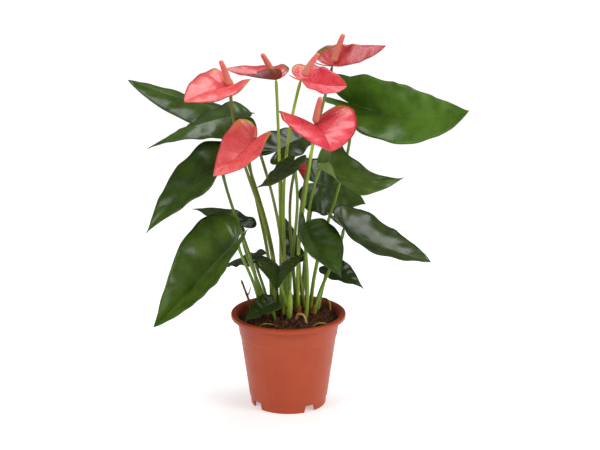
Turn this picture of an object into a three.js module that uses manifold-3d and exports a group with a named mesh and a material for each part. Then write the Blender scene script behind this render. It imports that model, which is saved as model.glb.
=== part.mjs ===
// A potted anthurium: heart-shaped leaves and waxy coral flowers, each on a long stalk of its own,
// rooted in peat in a round injection-moulded nursery pot.
// Millimetres, +Z up. Origin: centre of the pot's base, on the surface it stands on.
import * as THREE from "three";
import { mergeVertices } from "three/addons/utils/BufferGeometryUtils.js";
import Module from "manifold-3d";

const wasm = await Module();
wasm.setup();

// ---------------------------------------------------------------- pot sizes
const RIM_RADIUS = 70;
const POT_HEIGHT = 116;
const FOOT_RADIUS = 46;
const POT_WALL = 1.8;
const LIP_WIDTH = 7.5;
const LIP_HEIGHT = 6;
const BAND_HEIGHT = 20;
const BAND_STEP = 0.9;
const FOOT_HEIGHT = 10.5;
const FOOT_STEP = 1.3;
const FLOOR_RAISE = 7;
const NOTCH_COUNT = 4;
const NOTCH_FIRST_ANGLE = -55;
const NOTCH_WIDTH = 14;
const NOTCH_HEIGHT = 8;
const DRAIN_COUNT = 6;
const DRAIN_RADIUS = 4.5;
const DRAIN_RING_RADIUS = 28;
const DRAIN_FACETS = 12;
const POT_FACETS = 48;
const NECK_BELOW_LIP = 2;
const FOOT_TAPER = 0.6;
const STEP_CHAMFER = 0.8;
// Lip's section from below: [from the rim's radius, from the pot's top], then [from the neck's radius, ...].
const LIP_OUTSIDE = [[-0.4, -LIP_HEIGHT], [0, 1 - LIP_HEIGHT], [0, -1.8], [-0.9, -0.5], [-2.4, 0]];
const LIP_INSIDE = [[1.6, -0.6], [-0.4, -2.4]];

// --------------------------------------------------------------- soil sizes
const SOIL_BELOW_RIM = 1;
const SOIL_MOUND = 9;
const SOIL_SIDE_GAP = 0.6;
// Mound's section from the wall inwards: [share of the inner radius, share of the mound's height].
const SOIL_SECTION = [[0.75, 0.6], [0.4, 1]];
const SOIL_FACETS = 32;

// ---------------------------------------------- stalk, leaf and flower sizes
// Radius of a stalk where it leaves the soil and under its blade.
const LEAF_STALK = { base: 2.6, top: 1.7 };
const FLOWER_STALK = { base: 2.4, top: 1.7 };
const STALK_DEPTH = 12;
const STALK_TOP_CLEARANCE = 1.2;
const STALK_RISE_SHARE = 0.4;
const STALK_ARRIVE_SHARE = 0.35;
const STALK_SIDES = 6;
const STALK_STEPS = 9;
const BLADE_THICKNESS = 0.8;
const BLADE_ROWS = 11;
const BLADE_COLUMNS = 3;
const SPADIX_BASE_RADIUS = 4;
const SPADIX_TIP_RADIUS = 2.4;
const SPADIX_FULL_LENGTH = 34;
const SPADIX_ARCH = 0.04;
const SPADIX_END_SHARE = 0.6;
const SPADIX_SIDES = 8;
const SPADIX_STEPS = 5;
const ROOT_RADIUS = 1.6;
const ROOT_TAPER = 0.4;
const ROOT_SIDES = 6;
const ROOT_STEPS = 7;
const GAP = 0.3;

// --------------------------------------------- heart outline of every blade
// Shares of the half width, of the lobe's reach or of the midrib's length that place the outline's controls.
const WIDEST_AT = 0.1;
const NOTCH_WIDTH_SHARE = 0.08;
const NOTCH_REACH = 1.35;
const LOBE_REACH = 1.25;
const SHOULDER_AT = 0.4;
const TIP_PULL_AT = 0.82;
const SLIM_TIP = 0.14;
const FULL_TIP_GAIN = 0.2;
// A side vein's foot leaves the stalk at this share of the way round and then climbs at this power.
const VEIN_START = 0.35;
const VEIN_POWER = 1.6;

const SOIL_LEVEL = POT_HEIGHT - SOIL_BELOW_RIM;

// Leaves. base: where the stalk leaves the soil. attach and tip: across, towards the back and height above
// the rim, of the point where blade meets stalk and of the blade's tip.
// roll: lean of the blade about the line from attach to tip. halfWidth and lobe: sideways and backward reach
// of one heart lobe. full: how broad the blade stays towards its tip. fold: rise from the midrib of the left
// and of the right half, seen from the stalk. cup: what each half rises further beside the stalk. curl:
// further bend of each half on its way to the margin. droop: bend along the midrib. twist: turn of the tip
// about the midrib. ripple: margin wave height. sway: sideways set of the stalk's middle.
const LEAVES = [
  { base: [-15, 26], attach: [-67, 61, 237], tip: [-201, 118, 265], roll: -32,
    halfWidth: 30, lobe: 24, full: 0.4, fold: [-18, -17], cup: [18, -16],
    curl: -30, droop: -15, twist: 0, ripple: 1, sway: [6, 6] },
  { base: [-22, 8], attach: [-47, 41, 234], tip: [-165, -23, 209], roll: -35,
    halfWidth: 36, lobe: 12, full: 0.3, fold: [5, -30], cup: [-34, 23],
    curl: -9, droop: 48, twist: 27, ripple: 3, sway: [10, 0] },
  { base: [-34, 2], attach: [-79, -21, 189], tip: [-165, -64, 117], roll: 0,
    halfWidth: 36, lobe: 24, full: 0.14, fold: [-7, 20], cup: [35, 39],
    curl: -24, droop: 30, twist: -12, ripple: 2, sway: [0, -6] },
  { base: [-33, -9], attach: [-60, -49, 104], tip: [-158, -87, 9], roll: -42,
    halfWidth: 50, lobe: 22, full: 0.3, fold: [58, 37], cup: [8, -31],
    curl: -11, droop: -4, twist: -30, ripple: 3, sway: [0, 0] },
  { base: [-28, 12], attach: [-56, 18, 103], tip: [-121, 76, 109], roll: -6,
    halfWidth: 23, lobe: 12, full: 0.14, fold: [10, 10], cup: [0, 0],
    curl: -10, droop: 28, twist: 0, ripple: 2, sway: [0, 0] },
  { base: [-25, 26], attach: [-42, 44, 56], tip: [-84, 66, 34], roll: -20,
    halfWidth: 25, lobe: 12, full: 0.14, fold: [14, -10], cup: [0, 0],
    curl: -10, droop: 30, twist: 0, ripple: 2, sway: [0, 0] },
  { base: [2, -21], attach: [-11, -38, 69], tip: [-13, -120, 64], roll: 0,
    halfWidth: 34, lobe: 20, full: 0.3, fold: [42, 42], cup: [0, 0],
    curl: -40, droop: 30, twist: 0, ripple: 2, sway: [0, 0] },
  { base: [20, -19], attach: [18, -35, 116], tip: [63, -80, 68], roll: 24,
    halfWidth: 48, lobe: 8, full: 0.1, fold: [-10, 49], cup: [-1, 44],
    curl: -33, droop: -4, twist: 10, ripple: 1, sway: [7, 2] },
  { base: [31, -7], attach: [67, 15, 102], tip: [169, -48, 78], roll: 32,
    halfWidth: 44, lobe: 26, full: 0.3, fold: [-15, 44], cup: [16, 34],
    curl: -26, droop: -27, twist: 12, ripple: 2, sway: [0, -5] },
  { base: [24, -5], attach: [37, -37, 189], tip: [136, -39, 178], roll: 7,
    halfWidth: 48, lobe: 9, full: 0.1, fold: [-13, -17], cup: [47, 41],
    curl: 19, droop: -45, twist: 14, ripple: 2, sway: [-3, 8] },
  { base: [27, 13], attach: [76, 30, 252], tip: [205, -80, 266], roll: 37,
    halfWidth: 49, lobe: 33, full: 0.34, fold: [33, -12], cup: [42, 48],
    curl: 17, droop: -44, twist: 31, ripple: 3, sway: [0, -14] },
  { base: [-5, 22], attach: [-12, 48, 191], tip: [42, 92, 203], roll: 16,
    halfWidth: 32, lobe: 24, full: 0.14, fold: [14, 14], cup: [0, 0],
    curl: -12, droop: 30, twist: 0, ripple: 2, sway: [0, -14] },
  { base: [3, -12], attach: [6, -38, 197], tip: [-36, -76, 175], roll: 16,
    halfWidth: 24, lobe: 12, full: 0.2, fold: [-22, 10], cup: [12, -12],
    curl: 15, droop: -28, twist: 12, ripple: 1, sway: [-8, 5] },
  { base: [17, 21], attach: [34, 62, 146], tip: [97, 84, 113], roll: 34,
    halfWidth: 42, lobe: 24, full: 0.14, fold: [12, -12], cup: [0, 0],
    curl: -12, droop: 28, twist: 0, ripple: 2, sway: [0, 0] },
  { base: [36, 6], attach: [48, 34, 47], tip: [93, 30, 19], roll: 26,
    halfWidth: 22, lobe: 9, full: 0.14, fold: [14, 14], cup: [0, 0],
    curl: -10, droop: 28, twist: 0, ripple: 1, sway: [0, 0] },
  { base: [-15, -27], attach: [-20, -31, 20], tip: [-52, -44, 1], roll: -16,
    halfWidth: 19, lobe: 9, full: 0.14, fold: [14, 14], cup: [0, 0],
    curl: -10, droop: 28, twist: 0, ripple: 1, sway: [0, 0] },
  { base: [5, 30], attach: [4, 46, 54], tip: [-9, 56, 110], roll: 0,
    halfWidth: 18, lobe: 12, full: 0.14, fold: [20, 20], cup: [0, 0],
    curl: -10, droop: 16, twist: 0, ripple: 2, sway: [0, 0] },
];

// Flowers: the same words for the spathe. aim: compass heading (0 right, 90 back) and slope of the spadix.
const FLOWERS = [
  { base: [-20, -2], attach: [-66, -30, 282], tip: [-117, -76, 275], roll: -22,
    halfWidth: 35, lobe: 12, full: 0.4, fold: [20, 5], cup: [47, 27],
    curl: -37, droop: 33, twist: -12, ripple: 1, sway: [20, -4], spadixLength: 36,
    aim: [-157, 70] },
  { base: [-9, 5], attach: [-14, 2, 287], tip: [-75, 16, 297], roll: -19,
    halfWidth: 36, lobe: 12, full: 0.3, fold: [45, 2], cup: [24, 17],
    curl: -36, droop: -19, twist: -13, ripple: 1, sway: [0, 0], spadixLength: 36,
    aim: [-162, 61] },
  { base: [22, 11], attach: [52, 2, 303], tip: [114, -10, 329], roll: -6,
    halfWidth: 27, lobe: 26, full: 0.4, fold: [51, 15], cup: [14, -13],
    curl: 6, droop: -44, twist: 28, ripple: 1, sway: [-25, -13], spadixLength: 41,
    aim: [-22, 70] },
  { base: [13, -8], attach: [31, -63, 246], tip: [49, -107, 225], roll: -2,
    halfWidth: 48, lobe: 17, full: 0.5, fold: [10, 8], cup: [24, 22],
    curl: -16, droop: 49, twist: -8, ripple: 1, sway: [-7, 23], spadixLength: 37,
    aim: [-59, 70] },
  { base: [-7, -13], attach: [-37, -56, 228], tip: [-84, -102, 195], roll: 0,
    halfWidth: 31, lobe: 13, full: 0.3, fold: [-20, 12], cup: [32, 44],
    curl: 19, droop: -8, twist: -3, ripple: 1, sway: [6, 20], spadixLength: 14,
    aim: [50, 84] },
  { base: [0, -4], attach: [15, -46, 295], tip: [68, -50, 289], roll: -2,
    halfWidth: 26, lobe: 16, full: 0.6, fold: [58, -17], cup: [-20, 23],
    curl: 2, droop: -26, twist: 8, ripple: 1, sway: [-8, 31], spadixLength: 38,
    aim: [-12, 56] },
  { base: [9, 13], attach: [10, 20, 179], tip: [20, 10, 160], roll: 0,
    halfWidth: 11, lobe: 7, full: 0.14, fold: [30, 30], cup: [0, 0],
    curl: 10, droop: 20, twist: 0, ripple: 0, sway: [0, 0], spadixLength: 17,
    aim: [-40, 50] },
];

// Roots that arch over the peat, as [across, towards the back, above the rim] points; both ends are buried.
const ROOTS = [
  [[9, -28, -6], [12, -30, 8], [19, -32, 6], [23, -37, -9]],
  [[36, 38, -8], [42, 36, 5], [50, 28, 4], [52, 18, -9]],
];
// A dry stalk that lost its leaf; bow: set of its middle from the straight line.
const OLD_STALK = { base: [-42, -1], tip: [-57, -6, 42], bow: [3, 0, 4], radius: 1.7, taper: 0.3 };

// --------------------------------------------------------------- materials
const finish = (color, roughness) => new THREE.MeshStandardMaterial({ color, roughness, metalness: 0 });
const POT_PLASTIC = finish(0xb4522f, 0.45);
const PEAT = finish(0x30211a, 0.95);
const LEAF = finish(0x3b5922, 0.4);
const STALK = finish(0x6f9024, 0.5);
const SPATHE = finish(0xe06a68, 0.3);
const SPADIX = finish(0xd98a80, 0.6);
const ROOT = finish(0xc9a869, 0.7);
const DRY = finish(0x7a5330, 0.85);

// ----------------------------------------------------------------- helpers
const radians = THREE.MathUtils.degToRad;

// Closed geometry with shared vertices and no zero-area triangles at its poles.
function weld(geometry) {
  const bare = geometry.clone();
  bare.deleteAttribute("normal");
  bare.deleteAttribute("uv");
  const merged = mergeVertices(bare, 1e-4);
  const index = merged.index.array;
  const kept = [];
  for (let i = 0; i < index.length; i += 3) {
    const [a, b, c] = [index[i], index[i + 1], index[i + 2]];
    if (a !== b && b !== c && c !== a) kept.push(a, b, c);
  }
  merged.setIndex(kept);
  return merged;
}

function toSolid(geometry) {
  const welded = weld(geometry);
  return new wasm.Manifold(new wasm.Mesh({
    numProp: 3,
    vertProperties: new Float32Array(welded.attributes.position.array),
    triVerts: new Uint32Array(welded.index.array),
  }));
}

function toGeometry(solid) {
  const mesh = solid.getMesh();
  const geometry = new THREE.BufferGeometry();
  geometry.setAttribute("position", new THREE.BufferAttribute(new Float32Array(mesh.vertProperties), 3));
  geometry.setIndex(Array.from(mesh.triVerts));
  return geometry;
}

function namedMesh(name, geometry, material) {
  const shaded = geometry.clone();
  shaded.computeVertexNormals();
  const mesh = new THREE.Mesh(shaded, material);
  mesh.name = name;
  return mesh;
}

// Solid of revolution about Z from [radius, height] points.
function turned(points, facets) {
  const profile = points.map(([radius, height]) => new THREE.Vector2(radius, height));
  return new THREE.LatheGeometry(profile, facets).rotateX(Math.PI / 2);
}

// Closed tube along a curve whose radius changes along the way (0 at the start, 1 at the end).
function taperedTube(curve, radiusAt, sides, steps) {
  const frames = curve.computeFrenetFrames(steps);
  const positions = [];
  const index = [];
  for (let i = 0; i <= steps; i += 1) {
    const centre = curve.getPointAt(i / steps);
    const radius = radiusAt(i / steps);
    for (let k = 0; k < sides; k += 1) {
      const angle = (2 * Math.PI * k) / sides;
      const point = centre.clone()
        .addScaledVector(frames.normals[i], radius * Math.cos(angle))
        .addScaledVector(frames.binormals[i], radius * Math.sin(angle));
      positions.push(point.x, point.y, point.z);
    }
  }
  for (let i = 0; i < steps; i += 1) {
    for (let k = 0; k < sides; k += 1) {
      const a = i * sides + k;
      const b = i * sides + ((k + 1) % sides);
      index.push(a, b, b + sides, a, b + sides, a + sides);
    }
  }
  const last = steps * sides;
  for (let k = 1; k < sides - 1; k += 1) {
    index.push(0, k + 1, k);
    index.push(last, last + k, last + k + 1);
  }
  const geometry = new THREE.BufferGeometry();
  geometry.setAttribute("position", new THREE.Float32BufferAttribute(positions, 3));
  geometry.setIndex(index);
  return geometry;
}

// --------------------------------------------------------------------- pot
const NECK_RADIUS = RIM_RADIUS - LIP_WIDTH;
const NECK_HEIGHT = POT_HEIGHT - LIP_HEIGHT - NECK_BELOW_LIP;
const BAND_BOTTOM = NECK_HEIGHT - BAND_HEIGHT;
const FOOT_TOP_RADIUS = FOOT_RADIUS + FOOT_TAPER;
const FLOOR_TOP = FLOOR_RAISE + POT_WALL;

// Outside radius of the tapered wall at a height, without the band.
function wallRadius(height) {
  const along = (height - FOOT_HEIGHT) / (NECK_HEIGHT - FOOT_HEIGHT);
  return THREE.MathUtils.lerp(FOOT_TOP_RADIUS + FOOT_STEP, NECK_RADIUS - BAND_STEP, along);
}

function innerRadius(height) {
  return wallRadius(height) - POT_WALL;
}

function potGeometry() {
  const lipUnder = POT_HEIGHT - POT_WALL;
  const lipEdge = POT_HEIGHT - LIP_HEIGHT;
  const shell = toSolid(turned([
    [0, FLOOR_RAISE],
    [FOOT_RADIUS - POT_WALL, FLOOR_RAISE],
    [FOOT_RADIUS - POT_WALL, 0],
    [FOOT_RADIUS, 0],
    [FOOT_TOP_RADIUS, FOOT_HEIGHT - STEP_CHAMFER],
    [wallRadius(FOOT_HEIGHT), FOOT_HEIGHT],
    [wallRadius(BAND_BOTTOM), BAND_BOTTOM],
    [wallRadius(BAND_BOTTOM) + BAND_STEP, BAND_BOTTOM + STEP_CHAMFER],
    [NECK_RADIUS, NECK_HEIGHT],
    [NECK_RADIUS + 1.2, lipUnder - 1],
    [RIM_RADIUS - POT_WALL - 0.6, lipUnder],
    [RIM_RADIUS - POT_WALL, lipEdge],
    ...LIP_OUTSIDE.map(([out, up]) => [RIM_RADIUS + out, POT_HEIGHT + up]),
    ...LIP_INSIDE.map(([out, up]) => [NECK_RADIUS + out, POT_HEIGHT + up]),
    [innerRadius(NECK_HEIGHT), NECK_HEIGHT],
    [innerRadius(FLOOR_TOP), FLOOR_TOP],
    [0, FLOOR_TOP],
  ], POT_FACETS));
  let pot = shell;
  for (let i = 0; i < NOTCH_COUNT; i += 1) {
    const angle = radians(NOTCH_FIRST_ANGLE + (360 / NOTCH_COUNT) * i);
    const notch = new THREE.BoxGeometry(4 * POT_WALL + 2 * FOOT_STEP, NOTCH_WIDTH, 2 * NOTCH_HEIGHT);
    notch.translate(FOOT_RADIUS, 0, 0).rotateZ(angle);
    pot = pot.subtract(toSolid(notch));
  }
  for (let i = 0; i <= DRAIN_COUNT; i += 1) {
    const angle = (2 * Math.PI * i) / DRAIN_COUNT;
    const ring = i === DRAIN_COUNT ? 0 : DRAIN_RING_RADIUS;
    const drain = new THREE.CylinderGeometry(DRAIN_RADIUS, DRAIN_RADIUS, 4 * POT_WALL, DRAIN_FACETS);
    drain.rotateX(Math.PI / 2).translate(ring * Math.cos(angle), ring * Math.sin(angle), FLOOR_RAISE);
    pot = pot.subtract(toSolid(drain));
  }
  return toGeometry(pot);
}

// -------------------------------------------------------------------- soil
function soilGeometry(buried) {
  const bottom = FLOOR_TOP + GAP;
  const edge = SOIL_LEVEL - SOIL_MOUND;
  let soil = toSolid(turned([
    [0, bottom],
    [innerRadius(bottom) - SOIL_SIDE_GAP, bottom],
    [innerRadius(edge) - SOIL_SIDE_GAP, edge],
    ...SOIL_SECTION.map(([out, up]) => [out * innerRadius(edge), edge + up * SOIL_MOUND]),
    [0, SOIL_LEVEL],
  ], SOIL_FACETS));
  for (const pocket of buried) soil = soil.subtract(pocket);
  return toGeometry(soil);
}

// ------------------------------------------------------------------ blades
// Flat heart outline of one half: from the notch at the stalk, round the lobe, to the tip.
function heartMargin(blade, theta) {
  const { length, halfWidth, lobe, full } = blade;
  const widest = WIDEST_AT * length;
  const tipPull = (TIP_PULL_AT + FULL_TIP_GAIN * (full - SLIM_TIP)) * length;
  const first = new THREE.CubicBezierCurve(
    new THREE.Vector2(0, 0),
    new THREE.Vector2(NOTCH_WIDTH_SHARE * halfWidth, -NOTCH_REACH * lobe),
    new THREE.Vector2(halfWidth, -LOBE_REACH * lobe),
    new THREE.Vector2(halfWidth, widest),
  );
  const second = new THREE.CubicBezierCurve(
    new THREE.Vector2(halfWidth, widest),
    new THREE.Vector2(halfWidth, widest + SHOULDER_AT * (length - widest)),
    new THREE.Vector2(full * halfWidth, tipPull),
    new THREE.Vector2(0, length),
  );
  return theta < 0.5 ? first.getPoint(2 * theta) : second.getPoint(2 * theta - 1);
}

// Foot of the side vein that ends at the same theta on the margin.
function midribPoint(blade, theta) {
  const along = Math.max(0, (theta - VEIN_START) / (1 - VEIN_START));
  return new THREE.Vector2(0, blade.length * along ** VEIN_POWER);
}

// Point after turning for the given angle over an arc of the given length: [forward, up].
function arc(start, turn, length) {
  if (Math.abs(turn) < 1e-6) return [length * Math.cos(start), length * Math.sin(start)];
  const radius = length / turn;
  return [
    radius * (Math.sin(start + turn) - Math.sin(start)),
    radius * (Math.cos(start) - Math.cos(start + turn)),
  ];
}

// Bends the flat point (x across, y along the midrib) into the blade's own space.
function bend(blade, x, y) {
  const across = Math.abs(x) / blade.halfWidth;
  const half = x < 0 ? 0 : 1;
  const nearStalk = (1 - THREE.MathUtils.clamp(y / blade.length, 0, 1)) ** 2;
  const fold = radians(blade.fold[half] + blade.cup[half] * nearStalk);
  const [out, rise] = arc(fold, radians(blade.curl) * across, Math.abs(x));
  const wave = blade.ripple * across ** 2 * Math.sin((6 * Math.PI * y) / blade.length + Math.sign(x));
  const along = y / blade.length;
  const turn = radians(blade.droop) * -along;
  const [forward, up] = arc(0, turn, y);
  const spin = radians(blade.twist) * along;
  const local = new THREE.Vector3(Math.sign(x) * out, 0, rise + wave);
  local.applyAxisAngle(new THREE.Vector3(0, 1, 0), spin);
  local.applyAxisAngle(new THREE.Vector3(1, 0, 0), turn);
  return local.add(new THREE.Vector3(0, forward, up));
}

function bladeNormal(blade, x, y) {
  const step = 0.5;
  const alongX = bend(blade, x + step, y).sub(bend(blade, x - step, y));
  const alongY = bend(blade, x, y + step).sub(bend(blade, x, y - step));
  return alongX.cross(alongY).normalize();
}

// Thin closed leaf: two skins half a thickness to each side of the bent heart, meeting at its margin.
function bladeGeometry(blade) {
  const positions = [];
  const index = [];
  const stride = BLADE_COLUMNS + 1;
  for (const side of [-1, 1]) {
    for (const face of [1, -1]) {
      const start = positions.length / 3;
      for (let i = 0; i <= BLADE_ROWS; i += 1) {
        const theta = i / BLADE_ROWS;
        const margin = heartMargin(blade, theta);
        const rib = midribPoint(blade, theta);
        for (let j = 0; j <= BLADE_COLUMNS; j += 1) {
          const flat = rib.clone().lerp(margin, j / BLADE_COLUMNS);
          const onEdge = j === BLADE_COLUMNS || i === 0 || i === BLADE_ROWS;
          const lift = onEdge ? 0 : (face * BLADE_THICKNESS) / 2;
          const point = bend(blade, side * flat.x, flat.y);
          point.addScaledVector(bladeNormal(blade, side * flat.x, flat.y), lift);
          positions.push(point.x, point.y, point.z);
        }
      }
      for (let i = 0; i < BLADE_ROWS; i += 1) {
        for (let j = 0; j < BLADE_COLUMNS; j += 1) {
          const a = start + i * stride + j;
          const quad = [a, a + 1, a + 1 + stride, a, a + 1 + stride, a + stride];
          if (side * face < 0) quad.reverse();
          index.push(...quad);
        }
      }
    }
  }
  const geometry = new THREE.BufferGeometry();
  geometry.setAttribute("position", new THREE.Float32BufferAttribute(positions, 3));
  geometry.setIndex(index);
  return weld(geometry);
}

const RIGHT = new THREE.Vector3(1, 0, 0);
const FORWARD = new THREE.Vector3(0, 1, 0);
const UP = new THREE.Vector3(0, 0, 1);

function aboveRim([x, y, rise]) {
  return new THREE.Vector3(x, y, POT_HEIGHT + rise);
}

// Midrib length whose drooping arc spans the straight line from attach to tip.
function midribLength(plan) {
  const half = radians(plan.droop) / 2;
  return (aboveRim(plan.tip).distanceTo(aboveRim(plan.attach)) * half) / Math.sin(half);
}

// Attitude of a blade: its tip brought onto the line from attach to tip, then leaned about that line.
function attitude(blade) {
  const line = aboveRim(blade.tip).sub(aboveRim(blade.attach)).normalize();
  const side = line.clone().cross(UP).normalize();
  const frame = new THREE.Matrix4().makeBasis(side, line, side.clone().cross(line));
  const end = bend(blade, 0, blade.length);
  const level = new THREE.Quaternion().setFromAxisAngle(RIGHT, -Math.atan2(end.z, end.y));
  const lean = new THREE.Quaternion().setFromAxisAngle(FORWARD, radians(blade.roll));
  return new THREE.Quaternion().setFromRotationMatrix(frame).multiply(lean).multiply(level);
}

function bladeMesh(name, blade, material) {
  const mesh = namedMesh(name, bladeGeometry(blade), material);
  mesh.position.copy(aboveRim(blade.attach));
  mesh.quaternion.copy(attitude(blade));
  return mesh;
}

// ------------------------------------------------------------------ stalks
// Curve from the soil to just under the blade, arriving half-way between upright and square to the blade.
function stalkCurve(plan, topRadius) {
  const normal = UP.clone().applyQuaternion(attitude(plan));
  const arrive = normal.add(UP).normalize();
  const clear = GAP + BLADE_THICKNESS / 2 + STALK_TOP_CLEARANCE * topRadius;
  const top = aboveRim(plan.attach).addScaledVector(arrive, -clear);
  const foot = new THREE.Vector3(plan.base[0], plan.base[1], SOIL_LEVEL - STALK_DEPTH);
  const reach = top.distanceTo(foot);
  const sway = new THREE.Vector3(plan.sway[0], plan.sway[1], 0);
  return new THREE.CubicBezierCurve3(
    foot,
    foot.clone().addScaledVector(UP, STALK_RISE_SHARE * reach).add(sway),
    top.clone().addScaledVector(arrive, -STALK_ARRIVE_SHARE * reach).add(sway),
    top,
  );
}

function stalkSolid(plan, size, extra) {
  const curve = stalkCurve(plan, size.top);
  const radiusAt = (u) => size.top + (size.base - size.top) * (1 - u) ** 2 + extra;
  return taperedTube(curve, radiusAt, STALK_SIDES, STALK_STEPS);
}

function spadixGeometry(plan) {
  const [heading, slope] = plan.aim.map(radians);
  const aim = new THREE.Vector3(
    Math.cos(heading) * Math.cos(slope),
    Math.sin(heading) * Math.cos(slope),
    Math.sin(slope),
  );
  const slim = Math.min(1, plan.spadixLength / SPADIX_FULL_LENGTH);
  const steepest = radians(Math.max(0, ...plan.fold));
  const start = GAP + BLADE_THICKNESS / 2 + slim * SPADIX_BASE_RADIUS * (1 + Math.tan(steepest));
  const foot = aboveRim(plan.attach).addScaledVector(aim, start);
  const tip = foot.clone().addScaledVector(aim, plan.spadixLength - start);
  const middle = foot.clone().lerp(tip, 0.5).addScaledVector(UP, SPADIX_ARCH * plan.spadixLength);
  const curve = new THREE.QuadraticBezierCurve3(foot, middle, tip);
  const radiusAt = (u) => {
    const body = slim * THREE.MathUtils.lerp(SPADIX_BASE_RADIUS, SPADIX_TIP_RADIUS, u);
    return u === 0 || u === 1 ? SPADIX_END_SHARE * body : body;
  };
  return taperedTube(curve, radiusAt, SPADIX_SIDES, SPADIX_STEPS);
}

// ------------------------------------------------------------------- roots
function rootSolid(points, extra) {
  const curve = new THREE.CatmullRomCurve3(points.map(aboveRim));
  return taperedTube(curve, (u) => ROOT_RADIUS * (1 - ROOT_TAPER * u) + extra, ROOT_SIDES, ROOT_STEPS);
}

function oldStalkSolid(extra) {
  const foot = new THREE.Vector3(...OLD_STALK.base, SOIL_LEVEL - STALK_DEPTH);
  const tip = aboveRim(OLD_STALK.tip);
  const middle = foot.clone().lerp(tip, 0.5).add(new THREE.Vector3(...OLD_STALK.bow));
  const curve = new THREE.QuadraticBezierCurve3(foot, middle, tip);
  const radiusAt = (u) => OLD_STALK.radius * (1 - OLD_STALK.taper * u) + extra;
  return taperedTube(curve, radiusAt, ROOT_SIDES, ROOT_STEPS);
}

// ---------------------------------------------------------------- assembly
const plant = new THREE.Group();
const pockets = [];
const twoDigits = (number) => String(number).padStart(2, "0");

LEAVES.forEach((leaf, i) => {
  const plan = { ...leaf, length: midribLength(leaf) };
  const name = `leaf_${twoDigits(i + 1)}`;
  plant.add(bladeMesh(`${name}_blade`, plan, LEAF));
  plant.add(namedMesh(`${name}_petiole`, stalkSolid(plan, LEAF_STALK, 0), STALK));
  pockets.push(toSolid(stalkSolid(plan, LEAF_STALK, GAP)));
});

FLOWERS.forEach((flower, i) => {
  const plan = { ...flower, length: midribLength(flower) };
  const name = `flower_${i + 1}`;
  plant.add(bladeMesh(`${name}_spathe`, plan, SPATHE));
  plant.add(namedMesh(`${name}_spadix`, spadixGeometry(plan), SPADIX));
  plant.add(namedMesh(`${name}_stalk`, stalkSolid(plan, FLOWER_STALK, 0), STALK));
  pockets.push(toSolid(stalkSolid(plan, FLOWER_STALK, GAP)));
});

ROOTS.forEach((points, i) => {
  plant.add(namedMesh(`root_${i + 1}`, rootSolid(points, 0), ROOT));
  pockets.push(toSolid(rootSolid(points, GAP)));
});

plant.add(namedMesh("old_stalk", oldStalkSolid(0), DRY));
pockets.push(toSolid(oldStalkSolid(GAP)));

plant.add(namedMesh("pot", potGeometry(), POT_PLASTIC));
plant.add(namedMesh("soil", soilGeometry(pockets), PEAT));

export default plant;
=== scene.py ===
"""Potted anthurium: glossy heart-shaped leaves, waxy coral flowers and peat in a moulded nursery pot.

Every piece is worked out in millimetres from its sizes, carried into metres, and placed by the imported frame.
"""

import logging  # noqa: E402
import math  # noqa: E402
from dataclasses import dataclass, field  # noqa: E402
from enum import Enum  # noqa: E402
from typing import Callable, Sequence  # noqa: E402

import bmesh  # noqa: E402
import bpy  # noqa: E402
import numpy as np  # noqa: E402
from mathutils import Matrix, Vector  # noqa: E402


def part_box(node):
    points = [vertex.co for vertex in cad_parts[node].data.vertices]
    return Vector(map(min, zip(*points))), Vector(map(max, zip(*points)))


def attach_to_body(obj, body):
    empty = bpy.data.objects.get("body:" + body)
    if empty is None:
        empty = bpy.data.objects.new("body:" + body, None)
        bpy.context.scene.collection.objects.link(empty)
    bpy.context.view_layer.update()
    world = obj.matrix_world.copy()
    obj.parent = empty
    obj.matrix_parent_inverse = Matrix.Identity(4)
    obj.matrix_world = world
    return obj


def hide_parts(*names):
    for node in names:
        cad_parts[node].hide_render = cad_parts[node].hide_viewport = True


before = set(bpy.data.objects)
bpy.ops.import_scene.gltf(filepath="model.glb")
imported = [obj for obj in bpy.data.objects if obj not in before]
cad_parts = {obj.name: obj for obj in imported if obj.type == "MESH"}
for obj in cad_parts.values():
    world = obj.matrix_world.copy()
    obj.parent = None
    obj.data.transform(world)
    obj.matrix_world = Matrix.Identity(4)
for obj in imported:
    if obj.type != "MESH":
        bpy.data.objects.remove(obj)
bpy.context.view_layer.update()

LOG = logging.getLogger("anthurium")
MM = 0.001
SEED = 20
WELD_REACH = 2e-6
LEAST_EDGE = 1e-7
NOISE_RANGE = (0.3, 0.7)
WHITE = (1.0, 1.0, 1.0, 1.0)
UP = np.array([0.0, 0.0, 1.0])

Array = np.ndarray
Socket = bpy.types.NodeSocket
Colour = tuple[float, float, float]
Point = tuple[float, float, float]


class Slot(Enum):
    """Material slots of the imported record."""

    LEAF = "leaf"
    LEAF_STALK = "leaf_stalk"
    FLOWER_STALK = "flower_stalk"
    SPATHE = "spathe"
    SPADIX = "spadix"
    ROOT = "root"
    DRY_STALK = "dry_stalk"
    POT = "pot_plastic"
    PEAT = "peat"


class ToneAndShade(Enum):
    """How light a leaf's green is: partly its own green, partly painted light and shade."""

    DEEP = "deep"
    MID = "mid"
    FRESH = "fresh"
    BRIGHT = "bright"


# --------------------------------------------------------------------------------------- shape maths


def unit(vectors: Array) -> Array:
    """Each vector divided by its own length."""
    return vectors / np.maximum(np.linalg.norm(vectors, axis=-1, keepdims=True), 1e-12)


def ease(values: Array, low: float, high: float) -> Array:
    """Smooth step: 0 below low, 1 above high and the cubic 3t^2 - 2t^3 in between."""
    t = np.clip((np.asarray(values, float) - low) / (high - low), 0.0, 1.0)
    return t * t * (3.0 - 2.0 * t)


def bezier(controls: Array, t: Array) -> Array:
    """Cubic Bezier curve: the four control points weighted by the Bernstein polynomials of t.

    Args:
        controls: four points, one a row.
        t: places along the curve, 0 to 1.

    Returns:
        One point for each t.
    """
    t = np.asarray(t, float)[..., None]
    u = 1.0 - t
    weights = np.concatenate([u**3, 3 * u * u * t, 3 * u * t * t, t**3], axis=-1)
    return weights @ np.asarray(controls, float)


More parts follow.
